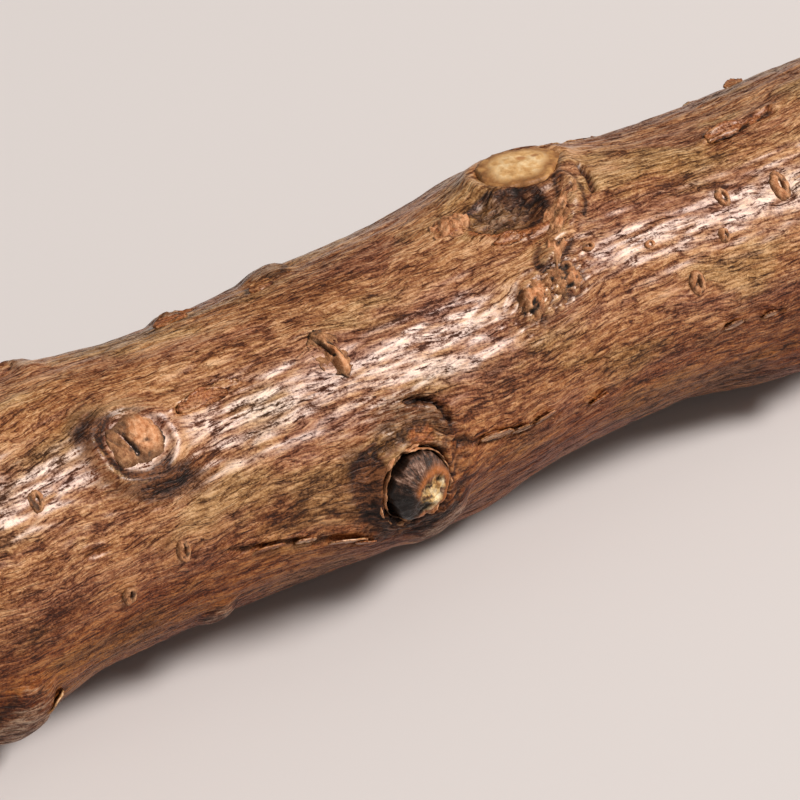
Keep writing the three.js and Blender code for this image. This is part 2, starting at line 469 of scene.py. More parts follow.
# %% Leaf scar seat
SCAR_X, SCAR_ANGLE = -31.9, 55.0
seat = oval(SCAR_X, SCAR_ANGLE, 3.1, 2.9) + 0.09 * ripple
along, across = near(SCAR_X, SCAR_ANGLE)
lower_left = np.clip(0.35 - 0.2 * (along + across), 0, 1)
RELIEF += 0.34 * hill(seat - 1.2, 0.16) * (0.35 + 0.65 * lower_left)
RELIEF -= 0.3 * hill(seat, 0.92, 3)
# Painted shadow: dark in the trench round the seat and in a halo outside it, strongest at the lower left.
DARK += 1.1 * hill(seat - 1.0, 0.1) * (0.45 + 0.55 * lower_left)
DARK += 0.3 * hill(seat - 1.5, 0.35) * (0.3 + lower_left)
DARK += 0.75 * hill(oval(-30.0, 37, 3.8, 1.7, -10) + 0.3 * crumbs, 1, 1.2)
DARK += 0.6 * hill(oval(-34.8, 66, 2.2, 1.6, 30) + 0.3 * crumbs, 1, 1.2)
CORK += 0.75 * hill(seat - 1.12, 0.16) * (lower_left > 0.3) * (crumbs > -0.1)
CORK += 0.55 * hill(oval(-32.6, 70, 4.4, 1.6, -12), 1, 1.5)
print("vertices in the seat:", int((seat < 1).sum()))

# %% [markdown]
# ## Cracks
# Thin cracks run along the grain where the bark has split to its rust-coloured inner layer, and one edge
# of each curls up. Each is a line through a few places. The front's are placed one by one, and the rest
# of the branch has short ones at random places, drawn from a fixed seed so that they stay where they are.

# %% Cracks to the inner bark
CRACKS = [
    # places along it, half width
    ([(-26.6, 3), (-24.4, 0), (-22.4, -1.5), (-19.7, -4)], 0.30),
    ([(-18.0, -8), (-16.3, -9), (-14.8, -12), (-13.2, -17)], 0.42),
    ([(-4.6, 12), (-2.4, 8), (0.4, 5.5), (3.4, 1.5)], 0.42),
    ([(3.6, 2.5), (5.7, 1), (7.2, 0)], 0.25),
    ([(-27.0, 61), (-25.4, 62), (-23.2, 63)], 0.34),
    ([(-39.4, 24), (-37.2, 22)], 0.22),
    ([(10.8, 13), (12.6, 12.4)], 0.22),
    ([(26.0, 3.5), (28.2, 2.5)], 0.28),
    ([(30.4, 2), (32.6, 1)], 0.22),
    ([(10.8, -4), (12.4, -5)], 0.25),
    ([(-20.4, 119), (-17.8, 118)], 0.2),
    ([(-38.6, 113), (-35.5, 113)], 0.35),
    ([(33.0, 84), (37.5, 86), (40.2, 87)], 0.5),
]
chance = np.random.default_rng(21)
for _ in range(26):
    x, angle = chance.uniform(-80, 80), chance.uniform(120, 330)
    if chance.random() < 0.35:
        x = chance.choice([-1, 1]) * chance.uniform(57, 84)
        angle = chance.uniform(-60, 120)
    length = chance.uniform(1.5, 5)
    CRACKS.append(([(x, angle), (x + length, angle + chance.uniform(-3, 3))], chance.uniform(0.18, 0.4)))
for places, half_width in CRACKS:
    distance, side = line(places)
    distance = distance + 0.28 * crumbs + 0.15 * ripple
    RELIEF += 0.22 * hill(distance - 1.5 * half_width, half_width) * (side > 0)
    RELIEF -= 0.36 * hill(distance, half_width, 2)
    RUST += 0.8 * hill(distance, 1.1 * half_width, 2) * (0.75 + 0.5 * ripple)
    # The middle of each crack is painted dark: painted shade.
    DARK += 0.8 * hill(distance, 0.7 * half_width, 2) * (crumbs < 0.05)
print(len(CRACKS), "cracks")

# %% [markdown]
# ## Small lumps low on the front
# Buried buds and old grazes make short lumps, some with an abrupt end towards the tip. They are hills on
# the sheet, cut off on one side, with the bark worn grey on top and painted shade round the foot.

# %% Small lumps
for x, angle, half_along, half_round, high in [
    (-46.5, -36, 3.4, 4.5, 1.0),
    (-26.5, -33, 1.8, 2.0, 0.55),
    (-5.0, -24, 3.2, 3.6, 0.8),
    (38.5, -34, 1.7, 2.4, 0.7),
    (43.0, -30, 1.2, 2.0, 0.5),
    (-34.8, 118, 1.6, 3.0, 0.5),
    (-20.0, 122, 1.4, 2.4, 0.45),
    (-9.6, 122, 2.0, 2.6, 0.5),
]:
    lump = oval(x, angle, half_along, half_round) + 0.22 * ripple
    RELIEF += high * hill(lump, 1, 2) * np.clip(1 - (near(x, angle)[0] - 0.8 * half_along) / 0.5, 0, 1)
    WORN += 0.5 * hill(lump, 1, 2)
    # A dark ring round the foot: painted shade.
    DARK += 0.6 * hill(lump - 0.9, 0.16) * (ripple > -0.1)
print("relief of the whole bark, mm:", RELIEF.min().round(2), "to", RELIEF.max().round(2))

# %% [markdown]
# ## Rolling the sheet up
# The sheet is added flat, at its full number of rows and columns, and every vertex is then moved to its
# place round the middle line. Welding by distance joins the long edges and gathers each end's last row
# into one point.

# %% Where the broken ends' rims run
RAGGED_FROM = 76  # mm from the middle of the branch: past this the bark's edge begins to shift


def rim_shift(x, angle):
    """How far each broken end's rim stands out or back, fading to nothing along the branch."""
    places = zip((4.5 * np.cos(angle)).tolist(), (4.5 * np.sin(angle)).tolist(), np.sign(x).tolist())
    ragged = np.array([noise.fractal(p, 0.9, 2.1, 5) for p in places])
    butt = -5.5 * np.cos(angle - radians(100)) + 2.2 * ragged
    tip = 4.0 * np.cos(angle - radians(215)) + 2.0 * ragged
    return np.where(x < 0, butt, tip) * np.clip((np.abs(x) - RAGGED_FROM) / (TIP - RAGGED_FROM), 0, 1) ** 1.5


rims = rim_shift(X, ANGLE)
print("rims shifted by", rims.min().round(1), "to", rims.max().round(1), "mm")


# %% Tools for laying out a mesh
def sheet(name, row_count, column_count):
    """A flat grid as a new object, with its vertices in rows."""
    bpy.ops.mesh.primitive_grid_add(x_subdivisions=column_count - 1, y_subdivisions=row_count - 1, size=1)
    made = bpy.context.object
    made.name = made.data.name = name
    return made


def place(piece, points):
    """Moves every vertex of a piece to its point, given in mm."""
    piece.data.vertices.foreach_set("co", (np.asarray(points) * MM).ravel())
    piece.data.update()


def turned_out(piece, weld=None):
    """Turns all faces outwards and shades them smooth, once vertices within weld mm are joined."""
    only(piece)
    bpy.ops.object.mode_set(mode="EDIT")
    bpy.ops.mesh.select_all(action="SELECT")
    if weld:
        bpy.ops.mesh.remove_doubles(threshold=weld * MM)
    bpy.ops.mesh.normals_make_consistent(inside=False)
    bpy.ops.object.mode_set(mode="OBJECT")
    bpy.ops.object.shade_smooth()


def keep(piece, name, values):
    """Stores one number, or one vector, for each vertex."""
    values = np.asarray(values, float)
    kind = "FLOAT_VECTOR" if values.ndim == 2 else "FLOAT"
    stored = piece.data.attributes.new(name, kind, "POINT")
    stored.data.foreach_set("vector" if values.ndim == 2 else "value", values.ravel())


def mark(piece, name, values):
    """Stores a mark, held between 0 and 1."""
    keep(piece, name, np.clip(values, 0, 1))


# %% Roll, weld and smooth
bark = sheet("bark", len(row_x), len(columns))
height = np.where(SHARE >= 1, RELIEF, 0)
place(bark, bark_point(X + rims, ANGLE, height, SHARE))
keep(bark, "grain", GRAIN)
MARKS = {"furrow": FURROW, "dark": DARK, "rust": RUST, "cork": CORK, "worn": WORN, "underside_shade": UNDERSIDE_SHADE}
for name, values in MARKS.items():
    mark(bark, name, values)
turned_out(bark, weld=0.01)
print("bark:", len(bark.data.polygons), "faces")

# %% [markdown]
# ## Materials: how nodes are added
# Every colour is written as the sRGB hex value that a colour picker shows, and turned to the linear
# light that the shader works in. One function adds any node, fills its inputs with values or with other
# nodes' outputs, and gives back the output that is wanted.

# %% Colours and nodes
def rgb(code):
    """The linear colour of an sRGB hex value."""
    parts = [int(code[i:i + 2], 16) / 255 for i in (1, 3, 5)]
    return tuple(p / 12.92 if p <= 0.04045 else ((p + 0.055) / 1.055) ** 2.4 for p in parts) + (1.0,)


def add(tree, kind, inputs=None, out=0, stops=(), **settings):
    """Adds a node with its settings, inputs and colour stops, and returns one of its outputs."""
    made = tree.nodes.new("ShaderNode" + kind)
    for name, value in settings.items():
        setattr(made, name, value)
    for name, value in (inputs or {}).items():
        if isinstance(value, bpy.types.NodeSocket):
            tree.links.new(value, made.inputs[name])
        else:
            made.inputs[name].default_value = value
    for i, (position, code) in enumerate(stops):
        stop = made.color_ramp.elements[i] if i < 2 else made.color_ramp.elements.new(position)
        stop.position, stop.color = position, rgb(code)
    return made.outputs[out] if made.outputs else made


def material(name):
    """A new material with an empty node tree."""
    made = bpy.data.materials.new(name)
    made.use_nodes = True
    made.node_tree.nodes.clear()
    return made, made.node_tree


# %% [markdown]
# ## Bark
# Dead bark of a young branch: thin, fibrous and a little waxy. The ridges are tan and slightly shiny,
# because weather polishes them, the furrows are dark and dull, and slow patches of red-brown, olive and
# purple-brown run through both. The mesh's furrows and the underside are darkened further as painted
# shade. The furrow net's lines lie 0.62 mm apart and a finer net's 0.3 mm apart.
# Everything is drawn on the flowing grain kept on the mesh. Plain Object coordinates would run straight
# through the knots.

# %% Bark: coordinates
FURROWS_MM = 0.62
FIBRES_MM = 0.3
GRITS_PER_MM = 4.5
GRAIN_SCALES = {
    # what one patch of each pattern takes, in mm along the branch and across it
    "slow": (9.0, 1.5),
    "streak": (1.7, 0.24),
    "thread": (3.4, 0.62),
    "fleck": (1.3, 0.42),
    "furrows": (3.2, FURROWS_MM),
    "fibres": (1.9, FIBRES_MM),
    "opening": (2.2, 0.9),
    "hue": (13.0, 5.0),
}
bark_finish, t = material("fibrous_bark")
grain = add(t, "Attribute", out="Vector", attribute_name="grain")
marks = {name: add(t, "Attribute", out="Fac", attribute_name=name) for name in MARKS}

# The grain wanders by up to half a millimetre, so that no line is quite straight.
wander = add(t, "TexNoise", {"Vector": grain, "Scale": 0.3, "Detail": 2.0}, out="Color")
sway = add(t, "VectorMath", {0: wander, 1: (0.5, 0.5, 0.5)}, operation="SUBTRACT")
drift = add(t, "VectorMath", {0: sway, 1: (0.0, 0.9, 0.9)}, operation="MULTIPLY")
wavy = add(t, "VectorMath", {0: grain, 1: drift}, operation="ADD")
lay = {}
for name, (along, across) in GRAIN_SCALES.items():
    lay[name] = add(t, "Mapping", {"Vector": wavy, "Scale": (1 / along, 1 / across, 1 / across)})
print("bark patterns:", ", ".join(lay))

# %% Bark: patterns
slow = add(t, "TexNoise", {"Vector": lay["slow"], "Scale": 1.0, "Detail": 3.0, "Roughness": 0.55})
streak = add(t, "TexNoise", {"Vector": lay["streak"], "Scale": 1.0, "Detail": 4.0, "Roughness": 0.6})
thread = add(t, "TexNoise", {"Vector": lay["thread"], "Scale": 1.0, "Detail": 3.0, "Roughness": 0.6})
fleck = add(t, "TexNoise", {"Vector": lay["fleck"], "Scale": 1.0, "Detail": 3.0, "Roughness": 0.6})
opening = add(t, "TexNoise", {"Vector": lay["opening"], "Scale": 1.0, "Detail": 2.0})
coarse = add(t, "TexVoronoi", {"Vector": lay["furrows"], "Scale": 1.0}, feature="DISTANCE_TO_EDGE")
fine = add(t, "TexVoronoi", {"Vector": lay["fibres"], "Scale": 1.0}, feature="DISTANCE_TO_EDGE")
object_place = add(t, "TexCoord", out="Object")
grit = add(t, "TexNoise", {
    "Vector": object_place, "Scale": GRITS_PER_MM / MM, "Detail": 3.0, "Roughness": 0.7})
hue = add(t, "TexNoise", {"Vector": lay["hue"], "Scale": 1.0, "Detail": 3.0}, out="Color")
hue_red, hue_green, hue_blue = (
    add(t, "SeparateColor", {"Color": hue}, out=channel) for channel in ("Red", "Green", "Blue"))

# %% Bark: furrows, fibres and threads as lines
SOFT = {"interpolation_type": "SMOOTHSTEP"}
FALLING = {"To Min": 1.0, "To Max": 0.0}
top = add(t, "MapRange", {"Value": coarse, "From Max": 0.13}, **SOFT)
dash = add(t, "MapRange", {"Value": coarse, "From Max": 0.11, **FALLING}, **SOFT)
hair = add(t, "MapRange", {"Value": fine, "From Max": 0.14, **FALLING}, **SOFT)
# The nets are open in places and closed in others, so that they read as short dark dashes.
open_here = add(t, "MapRange", {"Value": opening, "From Min": 0.40, "From Max": 0.60}, **SOFT)
dash = add(t, "Math", {0: dash, 1: open_here}, operation="MULTIPLY")
hair = add(t, "Math", {0: hair, 1: open_here}, operation="MULTIPLY")
# A thread is where one noise passes its middle value, and it too comes and goes.
from_middle = add(t, "Math", {0: thread, 1: 0.5}, operation="SUBTRACT")
from_middle = add(t, "Math", {0: from_middle}, operation="ABSOLUTE")
thin = add(t, "MapRange", {"Value": from_middle, "From Max": 0.022, **FALLING}, **SOFT)
thread_here = add(t, "MapRange", {"Value": fleck, "From Min": 0.42, "From Max": 0.56}, **SOFT)
thin = add(t, "Math", {0: thin, 1: thread_here}, operation="MULTIPLY")
pale_fleck = add(t, "MapRange", {"Value": fleck, "From Min": 0.52, "From Max": 0.62}, **SOFT)

# %% Bark: tone, from the dark furrows to the pale ridges
tone = add(t, "Math", {0: slow, 1: 1.6}, operation="SUBTRACT")
# The furrow mark darkens the mesh's furrows a little: painted shade.
for part, weight in [(streak, 1.8), (grit, 1.1), (dash, -0.26), (hair, -0.12), (thin, -0.26),
                     (marks["furrow"], -0.12), (pale_fleck, 0.18), (hue_blue, 0.5)]:
    tone = add(t, "Math", {0: part, 1: weight, 2: tone}, operation="MULTIPLY_ADD")

warm = add(t, "ValToRGB", {"Fac": tone}, stops=[
    (0.05, "#3e1c0a"), (0.95, "#d6a77a"), (0.30, "#6f3d1b"), (0.52, "#965f33"), (0.74, "#b88554")])
olive = add(t, "ValToRGB", {"Fac": tone}, stops=[
    (0.05, "#3a210c"), (0.95, "#d3ac7c"), (0.30, "#6a451f"), (0.52, "#956a39"), (0.74, "#b68c59")])
plum = add(t, "ValToRGB", {"Fac": tone}, stops=[
    (0.05, "#361507"), (0.95, "#cb9871"), (0.30, "#612f15"), (0.52, "#874d2a"), (0.74, "#a86f48")])
COLOURS = {"out": 2, "data_type": "RGBA"}  # a Mix node's third output is its colour
is_olive = add(t, "MapRange", {"Value": hue_red, "From Min": 0.47, "From Max": 0.62}, **SOFT)
is_plum = add(t, "MapRange", {
    "Value": hue_green, "From Min": 0.50, "From Max": 0.64, "To Max": 0.8}, **SOFT)
skin = add(t, "Mix", {"Factor": is_olive, 6: warm, 7: olive}, **COLOURS)
skin = add(t, "Mix", {"Factor": is_plum, 6: skin, 7: plum}, **COLOURS)
# The underside is multiplied darker: painted shade.
skin = add(t, "Mix", {"Factor": marks["underside_shade"], 6: skin, 7: rgb("#c29c68")}, blend_type="MULTIPLY", **COLOURS)

# %% Bark: worn, rusty, corky, stained and painted-dark places
grey = add(t, "ValToRGB", {"Fac": tone}, stops=[(0.1, "#2c1c11"), (0.9, "#b79b82"), (0.5, "#765842")])
rusty = add(t, "ValToRGB", {"Fac": grit}, stops=[(0.3, "#4a210d"), (0.72, "#c58b58"), (0.5, "#96562c")])
corky = add(t, "ValToRGB", {"Fac": grit}, stops=[(0.28, "#7a5330"), (0.75, "#dcb184"), (0.5, "#b98d5e")])
stain_and_shade = add(t, "ValToRGB", {"Fac": tone}, stops=[(0.25, "#150803"), (0.95, "#7a4d2e"), (0.58, "#3b1d0c")])
# The dark mark's brown is stain and rot in places, and painted shade and shadow in others.
for name, colour, softness in [
    ("worn", grey, 0.25), ("rust", rusty, 0.25), ("cork", corky, 0.25), ("dark", stain_and_shade, 0.4),
]:
    # The streaks break the mark's edge up along the grain.
    broken = add(t, "Math", {0: streak, 1: 1.1, 2: marks[name]}, operation="MULTIPLY_ADD")
    covers = add(t, "MapRange", {
        "Value": broken, "From Min": 1.0 - softness, "From Max": 1.0 + softness}, **SOFT)
    skin = add(t, "Mix", {"Factor": covers, 6: skin, 7: colour}, **COLOURS)

# %% Bark: fine relief, sheen and the finished material
raised = add(t, "Math", {0: top, 1: 0.55}, operation="MULTIPLY")
for part, weight in [(hair, -0.25), (streak, 0.8), (thin, -0.4), (thread, 0.8), (fleck, 1.0), (grit, 0.45)]:
    raised = add(t, "Math", {0: part, 1: weight, 2: raised}, operation="MULTIPLY_ADD")
bumps = add(t, "Bump", {"Height": raised, "Strength": 1.0, "Distance": 0.11 * MM})

# Wax lies on the ridges. It is gone where the bark is torn, stained, painted dark or worn, and on the
# underside that is painted as shade.
polish = add(t, "MapRange", {"Value": tone, "From Min": 0.1, "From Max": 0.68}, **SOFT)
for name in ("rust", "dark"):
    polish = add(t, "Math", {0: polish, 1: marks[name]}, operation="SUBTRACT", use_clamp=True)
polish = add(t, "Math", {0: marks["worn"], 1: -0.6, 2: polish}, operation="MULTIPLY_ADD", use_clamp=True)
off_shaded_side = add(t, "MapRange", {"Value": marks["underside_shade"], "From Max": 0.8, "To Min": 1.0, "To Max": 0.1})
waxy = add(t, "MapRange", {"Value": hue_green, "From Min": 0.36, "From Max": 0.52, "To Min": 0.5}, **SOFT)
for share_left in (off_shaded_side, waxy):
    polish = add(t, "Math", {0: polish, 1: share_left}, operation="MULTIPLY")
dullness = add(t, "MapRange", {
    "Value": tone, "From Min": 0.2, "From Max": 0.6, "To Min": 0.62, "To Max": 0.45}, **SOFT)

# Dead cork cells under old wax: a dull brown body, with a weak broad sheen along the ridges.
shader = add(t, "BsdfPrincipled", {
    "Base Color": skin, "Roughness": dullness, "IOR": 1.5, "Specular IOR Level": 0.22, "Normal": bumps,
    "Coat Weight": polish, "Coat Roughness": 0.35, "Coat IOR": 1.6})
add(t, "OutputMaterial", {"Surface": shader})
bark.data.materials.append(bark_finish)
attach(bark, "root")
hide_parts("branch")
print("bark material:", len(t.nodes), "nodes")

# %% [markdown]
# ## Pieces set in the bark
# Stub, pruned face, leaf scar, bud scars and lenticels are all round pads of wood or cork that sit in the
# bark. Each starts as a sphere cut in half, which gives a disc with rings and spokes and no open pole. Its
# vertices are then laid on the bark by their distance from the pad's middle, and lifted by a height that
# the pad's own shape gives. The rim always goes under the bark.

# %% Half a sphere, and a pad laid on the bark
def disc(name, spokes, rings):
    """Half a sphere as a new object, with each vertex's angle round it and share of the way out."""
    bpy.ops.mesh.primitive_uv_sphere_add(segments=spokes, ring_count=2 * rings, radius=1)
    made = bpy.context.object
    made.name = made.data.name = name
    bpy.ops.object.mode_set(mode="EDIT")
    bpy.ops.mesh.select_all(action="SELECT")
    bpy.ops.mesh.bisect(plane_co=(0, 0, -1e-4), plane_no=(0, 0, -1), clear_outer=True)
    bpy.ops.object.mode_set(mode="OBJECT")
    ball = np.array([v.co for v in made.data.vertices])
    spoke = np.arctan2(ball[:, 1], ball[:, 0])
    return made, spoke, np.arccos(np.clip(ball[:, 2], -1, 1)) / (pi / 2)


def pad(name, x, angle, half_along, half_round, shape, turn=0.0, spokes=64, rings=28, skirt=1.6, ragged=0.1):
    """A pad whose height in mm is shape(p, q), where p and q are mm along and round from its middle.

    The skirt is how far its rim goes down, and ragged is how uneven its outline is.
    """
    made, spoke, share = disc(name, spokes, rings)
    places = [(1.3 * np.cos(a), 1.3 * np.sin(a), x) for a in spoke.tolist()]
    outline = 1 + ragged * np.array([noise.fractal(p, 0.8, 2.0, 4) for p in places])
    p, q = share * outline * np.cos(spoke) * half_along, share * outline * np.sin(spoke) * half_round
    lift = shape(p, q) - skirt * np.clip((share - 0.86) / 0.14, 0, 1) ** 1.5
    along, across = turned(p, q, turn)
    place(made, bark_point(x + along, radians(angle) + across / MEAN_REACH, lift))
    keep(made, "local", np.stack([p, q, lift], axis=1))
    only(made)
    bpy.ops.object.shade_smooth()
    return made, p, q, share


# %% Shapes and marks on a pad
def rough(p, q, size, seed, octaves=4):
    """Noise over a pad, from about -1 to 1, with lumps of that size in mm."""
    places = zip((p / size).tolist(), (q / size).tolist())
    return np.array([noise.fractal((a, b, seed * 5.3), 0.9, 2.1, octaves) for a, b in places])


def spot(p, q, at_p, at_q, half_p, half_q, turn=0.0, steep=1.0):
    """A hill on a pad."""
    along, across = turned(p - at_p, q - at_q, -turn)
    return hill(np.hypot(along / half_p, across / half_q), 1, steep)


def spots(p, q, table):
    """The sum of several hills, each given as its strength and what spot takes."""
    return sum(strength * spot(p, q, *row) for strength, *row in table)


def past(share, start, over=0.1):
    """0 up to a share of the way out, then rising to 1: a pad's rim."""
    return np.clip((share - start) / over, 0, 1)


def finish_piece(piece, finish):
    """Gives a piece its material and the body it moves with."""
    piece.data.materials.append(finish)
    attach(piece, "root")
    print(piece.name + ":", len(piece.data.polygons), "faces")


def joined(pieces, name):
    """Joins pieces into one object."""
    bpy.ops.object.select_all(action="DESELECT")
    for piece in pieces:
        piece.select_set(True)
    bpy.context.view_layer.objects.active = pieces[0]
    bpy.ops.object.join()
    pieces[0].name = name
    return pieces[0]

# %% [markdown]
# ## Cork
# Lenticels and leaf scars are plugs of cork: dull, crumbly, pale tan to peach, with dark slits where air
# gets in. One material serves them all, and two marks on each mesh say where it is peach and where shade
# is painted, in its slits, gaps and crevices and round its rim. The crumbs are 0.3 mm across.

# %% Cork material
# Dead, air-filled cells that crumble: it scatters light and hardly shines.
cork_finish, t = material("lenticel_cork")
local = add(t, "Attribute", out="Vector", attribute_name="local")
peach = add(t, "Attribute", out="Fac", attribute_name="peach")
shade = add(t, "Attribute", out="Fac", attribute_name="shade")
crumb = add(t, "TexNoise", {"Vector": local, "Scale": 2.0, "Detail": 5.0, "Roughness": 0.7})
tan = add(t, "ValToRGB", {"Fac": crumb}, stops=[
    (0.28, "#46270f"), (0.78, "#d8aa7e"), (0.43, "#82532e"), (0.58, "#aa794f")])
rosy = add(t, "ValToRGB", {"Fac": crumb}, stops=[
    (0.26, "#7d4223"), (0.78, "#f2c9a4"), (0.42, "#bd7b4b"), (0.58, "#dba377")])
face = add(t, "Mix", {"Factor": peach, 6: tan, 7: rosy}, **COLOURS)
face = add(t, "Mix", {"Factor": shade, 6: face, 7: rgb("#1a0f08")}, **COLOURS)
pits = add(t, "Bump", {"Height": crumb, "Strength": 1.0, "Distance": 0.2 * MM})
shader = add(t, "BsdfPrincipled", {"Base Color": face, "Roughness": 0.62, "IOR": 1.45, "Normal": pits})
add(t, "OutputMaterial", {"Surface": shader})
print("cork material:", len(t.nodes), "nodes")

# %% [markdown]
# ## The broken twig stub
# The stub stands out of its collar like a worn peg. Its upper side is silvery, weathered wood in coarse
# fibres, the lower left is black and smooth, and at the lower right a piece broke out and left golden wood
# in a shallow pit, with an orange-brown rim and small holes.

# %% Stub shape
HOLES = [
    # depth, then place, half lengths, turn and steepness
    (1.0, 0.35, -1.75, 0.85, 0.42, 15, 2),
    (1.0, 1.55, 0.45, 0.26, 0.26, 0, 2),
    (0.5, 1.3, -0.9, 0.3, 0.2, 0, 2),
]


def in_pit(p, q, wider=0.0, steep=3):
    """1 in the pit where a piece broke out, or in a pit that is wider by so many mm."""
    return spot(p, q, 0.7, -0.55, 1.6 + wider, 1.9 + wider, -28, steep)


def stub_shape(p, q):
    out = np.hypot(p, q)
    dome = 1.65 * (1 - (out / 3.3) ** 2.2) + 0.22 * rough(p, q, 1.4, 61, 3)
    bend = 0.5 * rough(p, q, 1.5, 2, 2)
    fibres = rough(np.arctan2(q, p) * 2.2 + bend, out * 0.5, 0.42, 3, 4) * np.clip(out - 0.8, 0, 1)
    pit = in_pit(p, q)
    wall = in_pit(p, q, 0.25, 4) - pit
    crumble = rough(p, q, 0.6, 8, 4)
    shaped = dome + 0.13 * fibres * (1 - pit) - (0.42 + 0.26 * crumble) * pit
    return shaped + 0.14 * wall - 0.6 * spots(p, q, HOLES)


stub, p, q, share = pad(
    "twig_stub", STUB_X + 0.1, STUB_ANGLE - 0.3, 3.25, 3.25, stub_shape, 0, 96, 46, 4.4, 0.13)
middle_height = stub_shape(np.zeros(1), np.zeros(1))[0]
print("the stub's middle stands", middle_height.round(1), "mm out of the smooth bark")

# %% Stub marks
# The black mark is painted shade in the holes and round the stub's foot. On the lower left it is partly
# black wood and partly painted shade on the side away from the key lamp.
BLACK_AND_SHADED_SPOTS = [
    (0.9, 0.35, -1.75, 0.8, 0.4, 15, 1.5),
    (0.8, 1.55, 0.45, 0.25, 0.25, 0, 2),
    (1.0, -2.1, -1.1, 1.8, 2.1, 35, 1.5),
    (0.7, 0.0, -1.5, 0.8, 0.6, 10, 2),
]
keep(stub, "lay", np.stack([np.arctan2(q, p) * 2.2, np.hypot(p, q), 0 * p], axis=1))
mark(stub, "gold", in_pit(p, q) * (0.75 + 0.5 * rough(p, q, 0.7, 4, 3)))
mark(stub, "rim", 1.6 * (in_pit(p, q, 0.35, 5) - in_pit(p, q, 0.0, 5)) * (share < 0.85))
mark(stub, "black_and_shade", spots(p, q, BLACK_AND_SHADED_SPOTS) + past(share, 0.82))

# %% Stub material
# Old wood, bleached by sun on top: fibres with a dull silk shine, and dark rot between them.
stub_finish, t = material("weathered_twig_wood")
local = add(t, "Attribute", out="Vector", attribute_name="local")
laid = add(t, "Attribute", out="Vector", attribute_name="lay")
gold, rim, black_and_shade = (add(t, "Attribute", out="Fac", attribute_name=n) for n in ("gold", "rim", "black_and_shade"))
strand_places = add(t, "Mapping", {"Vector": laid, "Scale": (2.6, 0.75, 0.75)})
strands = add(t, "TexNoise", {"Vector": strand_places, "Scale": 1.0, "Detail": 4.0, "Roughness": 0.6})
grains = add(t, "TexNoise", {"Vector": local, "Scale": 2.4, "Detail": 5.0, "Roughness": 0.7})
lumps = add(t, "TexNoise", {"Vector": local, "Scale": 0.9, "Detail": 3.0, "Roughness": 0.55})
mottled = add(t, "Math", {0: grains, 1: 0.5, 2: strands}, operation="MULTIPLY_ADD")
mottled = add(t, "Math", {0: mottled, 1: 0.25}, operation="SUBTRACT")
silver = add(t, "ValToRGB", {"Fac": mottled}, stops=[
    (0.36, "#110805"), (0.76, "#c8ab97"), (0.48, "#3a2316"), (0.6, "#765443")])
golden = add(t, "ValToRGB", {"Fac": lumps}, stops=[
    (0.3, "#2c1709"), (0.68, "#fbedc6"), (0.38, "#8a5a24"), (0.47, "#d9b274")])
fresh = add(t, "MapRange", {"Value": gold, "From Min": 0.45, "From Max": 0.7})
black = add(t, "MapRange", {"Value": black_and_shade, "From Min": 0.25, "From Max": 0.7, "To Max": 0.95})
wood = add(t, "Mix", {"Factor": fresh, 6: silver, 7: golden}, **COLOURS)
wood = add(t, "Mix", {"Factor": rim, 6: wood, 7: rgb("#ab6630")}, **COLOURS)
wood = add(t, "Mix", {"Factor": black, 6: wood, 7: rgb("#0f0704")}, **COLOURS)
fibre_height = add(t, "Math", {0: strands, 1: grains}, operation="ADD")
strand_bumps = add(t, "Bump", {"Height": fibre_height, "Strength": 0.8, "Distance": 0.2 * MM})
shader = add(t, "BsdfPrincipled", {
    "Base Color": wood, "Roughness": 0.34, "IOR": 1.45, "Specular IOR Level": 0.4, "Normal": strand_bumps})
add(t, "OutputMaterial", {"Surface": shader})
finish_piece(stub, stub_finish)

# %% [markdown]
# ## Lips of bark round the stub
# Where the collar drew back from the dead stub, thin rags of bark stand on edge in the gap. Each starts as
# a torus, which closes on itself, and noise makes it thick in some places and nearly nothing in others.

# %% Lips
def lip(name, x, angle, radius, thick, height, seed):
    """A thin uneven ring of dead bark that stands on edge in the gap."""
    bpy.ops.mesh.primitive_torus_add(major_segments=160, minor_segments=10, major_radius=1, minor_radius=0.1)
    ring = bpy.context.object
    ring.name = ring.data.name = name
    co = np.array([v.co for v in ring.data.vertices])
    spoke = np.arctan2(co[:, 1], co[:, 0])
    side, up = 10 * (np.hypot(co[:, 0], co[:, 1]) - 1), 10 * co[:, 2]
    around = rough(2.2 * np.cos(spoke), 2.2 * np.sin(spoke), 1.0, seed, 5)
    size = np.clip(0.75 + 0.9 * around, 0.12, 1.5)
    wander = 1 + 0.07 * rough(1.6 * np.cos(spoke), 1.6 * np.sin(spoke), 1.0, seed + 1, 3)
    out = radius * wander + thick * side * size
    p, q = out * np.cos(spoke), out * np.sin(spoke)
    lift = height * size + 3.0 * thick * up * size - 0.35
    place(ring, bark_point(x + p, radians(angle) + q / MEAN_REACH, lift))
    keep(ring, "local", np.stack([p, q, lift], axis=1))
    mark(ring, "peach", 0.5 + around)
    mark(ring, "shade", 0.35 - 1.2 * around)
    only(ring)
    bpy.ops.object.shade_smooth()
    finish_piece(ring, cork_finish)


lip("stub_lip_inner", STUB_X + 0.05, STUB_ANGLE - 0.2, 3.05, 0.09, 0.25, 71)
lip("stub_lip_outer", STUB_X - 0.25, STUB_ANGLE - 0.4, 3.5, 0.11, 0.42, 75)

# %% [markdown]
# ## The pruned face
# A flat cut through a side twig, nearly flush with its roll of healing bark. The wood is cream to honey
# coloured, with a few brown flecks and an ochre edge, and its fibres end in the face, so it is matt.

# %% Pruned face: shape and marks
def face_shape(p, q):
    level = 0.02 + q * q / (2 * MEAN_REACH)  # the branch curves away under the flat cut
    return level + 0.05 * rough(p, q, 0.6, 11, 3) - 0.1 * spot(p, q, 1.4, 0.4, 1.0, 0.7, 0, 1.5)


